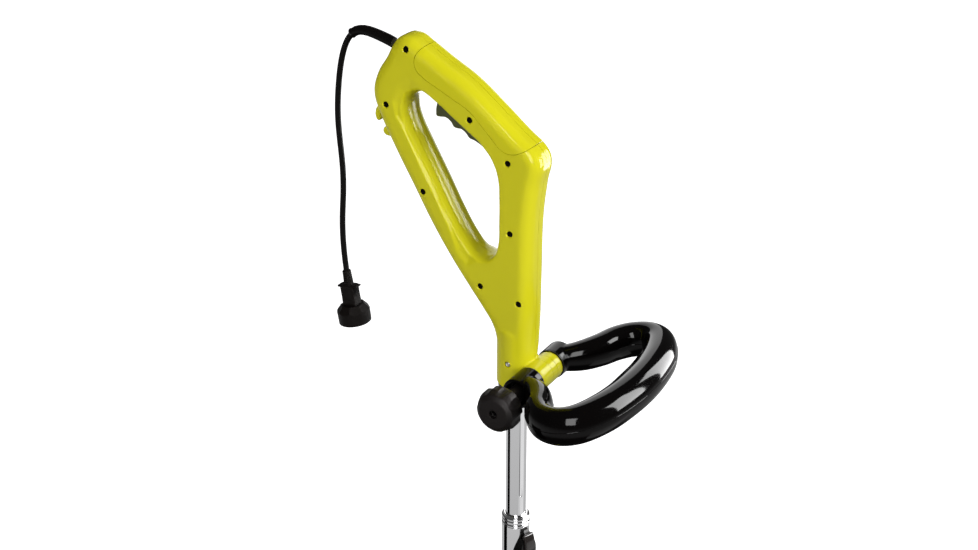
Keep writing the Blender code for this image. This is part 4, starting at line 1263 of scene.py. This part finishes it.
# ---------------------------------------------------------------- motor head
@dataclass
class MotorHead:
    """The tilting head: neck, lime motor housing, spool, guard and edge guide."""

    tilt_z: float = -690.0
    tilt_rest: float = 35.0
    lug_r: float = 15.0
    lug_half: float = 15.4
    cheek_r: float = 18.0
    cheek_out: float = 21.5
    wall: float = 2.6
    line_z: float = -181.0
    line_reach: float = 148.0
    guard_r: float = 166.0
    guard_spread: float = 72.0
    seam: float = 0.2
    housing: tuple[tuple[float, float], ...] = ((15, -20), (30, -26), (38, -40), (45, -66), (48.5, -96),
                                                (49, -124), (47, -147))
    guide_side: tuple[tuple[float, float, float], ...] = (
        (14, -47.5, -134), (14, -52.5, -134), (24, -62, -138), (60, -110, -150), (86, -134, -165),
        (118, -112, -186), (146, -70, -192), (160, -30, -194), (163, 0, -194))

    def frame(self) -> Matrix:
        """The motor's frame: origin on the tilt pin, -Z along the motor shaft."""
        return seat((0, 0, self.tilt_z), (0, self.tilt_rest, 0))

    def build(self) -> None:
        """Make every shown piece of the head."""
        place = self.frame()
        self.build_neck()
        self.build_housing(place)
        self.build_spool(place)
        self.build_guard(place)

    def build_neck(self) -> None:
        """The forked neck on the lower tube, with its tilt button."""
        r = self.cheek_r
        sleeve = turned("neck_sleeve", ((15.7, -596, 0.4), (18.6, -596, 1.2), (19.2, -600, 0.6),
                                        (20.5, -602, 1.0), (20.5, -664, 2.5), (15.7, -664)))
        floor = rod("neck_floor", 20.0, -672, -660, None, 72, 3.0)
        cheeks = plate("neck_cheeks", (((-18, 30), (-r, 0), (-r * 0.7, -r * 0.7), (0, -r),
                                        (r * 0.7, -r * 0.7), (r, 0), (18, 30)),), self.cheek_out, 3.0,
                       place=seat((0, 0, self.tilt_z)))
        fuse(sleeve, floor, cheeks)
        rings = [ring("groove", 24, 19.9, z - 0.7, z + 0.7, None, 0.1, 72) for z in range(-650, -610, 8)]
        cut(sleeve, block("fork_gap", (80, 2 * (self.lug_half + GAP), 60), seat((0, 0, self.tilt_z - 13)),
                          1.0),
            rod("tilt_bore", 4.3, -60, 60, seat((0, 0, self.tilt_z), (90, 0, 0))),
            rod("button_cup", 8.0, 18.5, 40, seat((0, 0, self.tilt_z), (90, 0, 0))),
            rod("wire_way", 6.0, -680, -640), *rings)
        dress(sleeve, "head_neck", SATIN_BLACK, "black_plastic", "head_neck")
        button = turned("head_tilt_button", ((0, 27.0), (4.5, 27.2), (5.6, 27.5, 0.4), (7.3, 26.6, 1.2),
                                             (7.4, 22.0, 0.2), (0, 22.0)),
                        seat((0, 0, self.tilt_z), (90, 0, 0)), 64)
        dress(button, "tilt_button", GREY_PLASTIC, "grey_plastic", "tilt_button")

    def build_housing(self, place: Matrix) -> None:
        """Two lime halves with vents, ribs and a seam."""
        outer = [(0, self.housing[0][1])] + [(r, z, 6) for r, z in self.housing[:-1]] + [(47, -147, 1),
                                                                                         (0, -147)]
        inner = [(0, -20 - self.wall)] + [(r - self.wall, z - self.wall, 4) for r, z in self.housing[:-1]]
        inner += [(47 - self.wall, -147 - self.wall), (0, -147 - self.wall)]
        shell = turned("motor_casing", outer, place, 112)
        lug = rod("lug", self.lug_r, -self.lug_half, self.lug_half, seat(turn=(90, 0, 0), parent=place), 72,
                  1.0)
        web = block("lug_web", (24, 2 * self.lug_half - 2, 20), seat((0, 0, -14), parent=place), 2.0)
        fuse(shell, lug, web)
        hollow = cut(turned("hollow", inner, place, 72), rod("post", 14.5, -44, -12, place))
        vents = []
        for k in range(12):
            for z, length in ((-60, 13), (-78, 9)):
                turn = seat(turn=(0, 0, 360 * (k + 0.5) / 12), parent=place)
                vents.append(block("vent", (26, 4.2, length), turn @ Matrix.Translation((46, 0, z)), 1.4))
        grooves = [ring("band", 60, 48.0, z - 0.8, z + 0.8, place, 0.2, 112) for z in (-106, -112, -118)]
        cut(shell, hollow, rod("bearing_seat", 11.3, -52, -24, place),
            rod("pin_way", 4.3, -60, 60, seat(turn=(90, 0, 0), parent=place)), *vents, *grooves)
        for side in Side:
            half = block("half", (300, 150, 400), seat((0, side.value * (75 + self.seam), -80), parent=place))
            part = trim(copy_of(shell, f"motor_casing_{side.word}"), half)
            dress(part, "motor_head", LIME, "motor_lime", f"motor_housing_{side.word}")
        bpy.data.objects.remove(shell)

    def build_spool(self, place: Matrix) -> None:
        """The spool housing with grip ribs, the bump knob and both lines."""
        cup = turned("spool_cup", ((4.6, -157), (40, -157, 3), (49, -166, 4), (50, -176, 2), (50, -197, 0.8),
                                   (47.5, -197, 0.5), (47.5, -170, 3), (40, -160, 2), (4.6, -160)), place,
                     112)
        boss = rod("drive_boss", 9, -176, -158, place)
        fuse(cup, boss)
        tools = [rod("drive_bore", 4.3, -172, -150, place)]
        tools += [rod("flute", 2.2, -200, -178,
                      seat((51.3 * math.cos(a), 51.3 * math.sin(a), 0), parent=place), 20)
                  for a in (math.tau * (k + 0.5) / 24 for k in range(24)) if abs(math.sin(a)) > 0.14]
        for k, word in enumerate("ab"):
            out = 1 - 2 * k
            tools.append(rod("eyelet", 2.6, 20, 80, seat((0, 0, self.line_z), (0, 90 * out, 0), place), 32))
            path = [(out * x, 0, self.line_z) for x in range(44, int(self.line_reach) + 1, 8)]
            path[-1] = (out * self.line_reach, 0, self.line_z)
            line = tube(f"nylon_line_{word}", path, 1.1, place, 12)
            dress(line, "spool_drive", NYLON, "line_nylon", f"cutting_line_{word}")
        cut(cup, *tools)
        dress(cup, "spool_drive", SATIN_BLACK, "spool_black", "spool_housing")
        knob = turned("bump_cap", ((0, -183), (12.5, -183, 0.4), (12.5, -197.5, 0.6), (26, -199, 1.5),
                                   (29, -205, 3), (24, -213.6, 3), (15, -214, 1), (0, -214)), place, 96)
        flutes = [rod("flute", 3.0, -216, -200, seat(polar(30.5, 360 * (k + 0.5) / 10), parent=place), 24)
                  for k in range(10)]
        cut(knob, *flutes)
        dress(knob, "bump_knob", SATIN_BLACK, "spool_black", "bump_knob")

    def build_guard(self, place: Matrix) -> None:
        """The debris guard with a rolled rim, ribs and the wire edge guide."""
        deck = turned("debris_guard", ((49.6, -132, 0.8), (118, -136, 12), (self.guard_r, -150, 8),
                                       (self.guard_r, -190, 0.8), (self.guard_r - 3, -190, 0.8),
                                       (self.guard_r - 3, -153, 6), (117, -139.5, 12), (49.6, -135.5, 0.8)),
                      place, 160)
        spread = math.radians(self.guard_spread)
        corner = (-BIG * math.cos(spread), BIG * math.sin(spread))
        wedge = plate("guard_wedge",
                      (((0, 0), corner, (-BIG, BIG), (-BIG, -BIG), (corner[0], -corner[1])),), BIG,
                      place=place @ Matrix.Rotation(math.radians(-90), 4, "X"), smooth=False)
        trim(deck, wedge)
        ribs = [block("guard_rib", (50, 3, 8),
                      seat((-69, 37 * side.value, -132.5), (0, 0, -28 * side.value), place), 1.0)
                for side in Side]
        fuse(deck, *ribs)
        dress(deck, "motor_head", SATIN_BLACK, "guard_black", "guard")
        path = list(self.guide_side) + [(x, -y, z) for x, y, z in self.guide_side[-2::-1]]
        guide = tube("wire_edge_guide", smooth_run(path, 4), 1.9, place, 16)
        dress(guide, "edge_guide", STEEL, "zinc_steel", "edge_guide")


# ---------------------------------------------------------------- inner parts
@dataclass
class InnerParts:
    """Finishes of the CAD pieces that keep their shape."""

    finishes: dict[str, Finish] = field(default_factory=lambda: {
        "power_switch": SATIN_BLACK, "tube_bush": SATIN_BLACK, "clamp_shoe": RUBBER, "tilt_pin": STEEL,
        "motor_stator": IRON, "armature": COPPER, "upper_bearing": STEEL, "lower_bearing": STEEL,
        "cooling_fan": SATIN_BLACK, "motor_end_plate": SATIN_BLACK, "line_spool": GREY_PLASTIC,
        "bump_spring": STEEL, "line_cutter": STEEL})

    def build(self, nodes: dict[str, Object]) -> None:
        """Give each kept node its finish.

        Args:
            nodes: the frame's objects by node name.
        """
        for name, finish in self.finishes.items():
            data = nodes[name].data
            data.materials.clear()
            data.materials.append(finish.material())
            LOG.info("%s keeps its shape", name)


def corners(box: tuple[Vector, Vector]) -> list[list[float]]:
    """A box as plain lists of numbers."""
    return [list(box[0]), list(box[1])]


def main() -> None:
    """Build the trimmer's looks round the frame."""
    logging.basicConfig(level=logging.INFO, format="%(name)s: %(message)s")
    for ob in list(bpy.data.objects):
        bpy.data.objects.remove(ob)
    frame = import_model()
    cad_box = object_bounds()
    Studio().build()
    MainsLead().build()
    HandleCasing().build()
    TriggerSet().build()
    LoopHandle().build()
    Shaft().build()
    MotorHead().build()
    InnerParts().build(frame["nodes"])
    bpy.context.view_layer.update()
    {"cad": corners(cad_box), "visual": corners(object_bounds())}


if __name__ == "__main__":
    main()
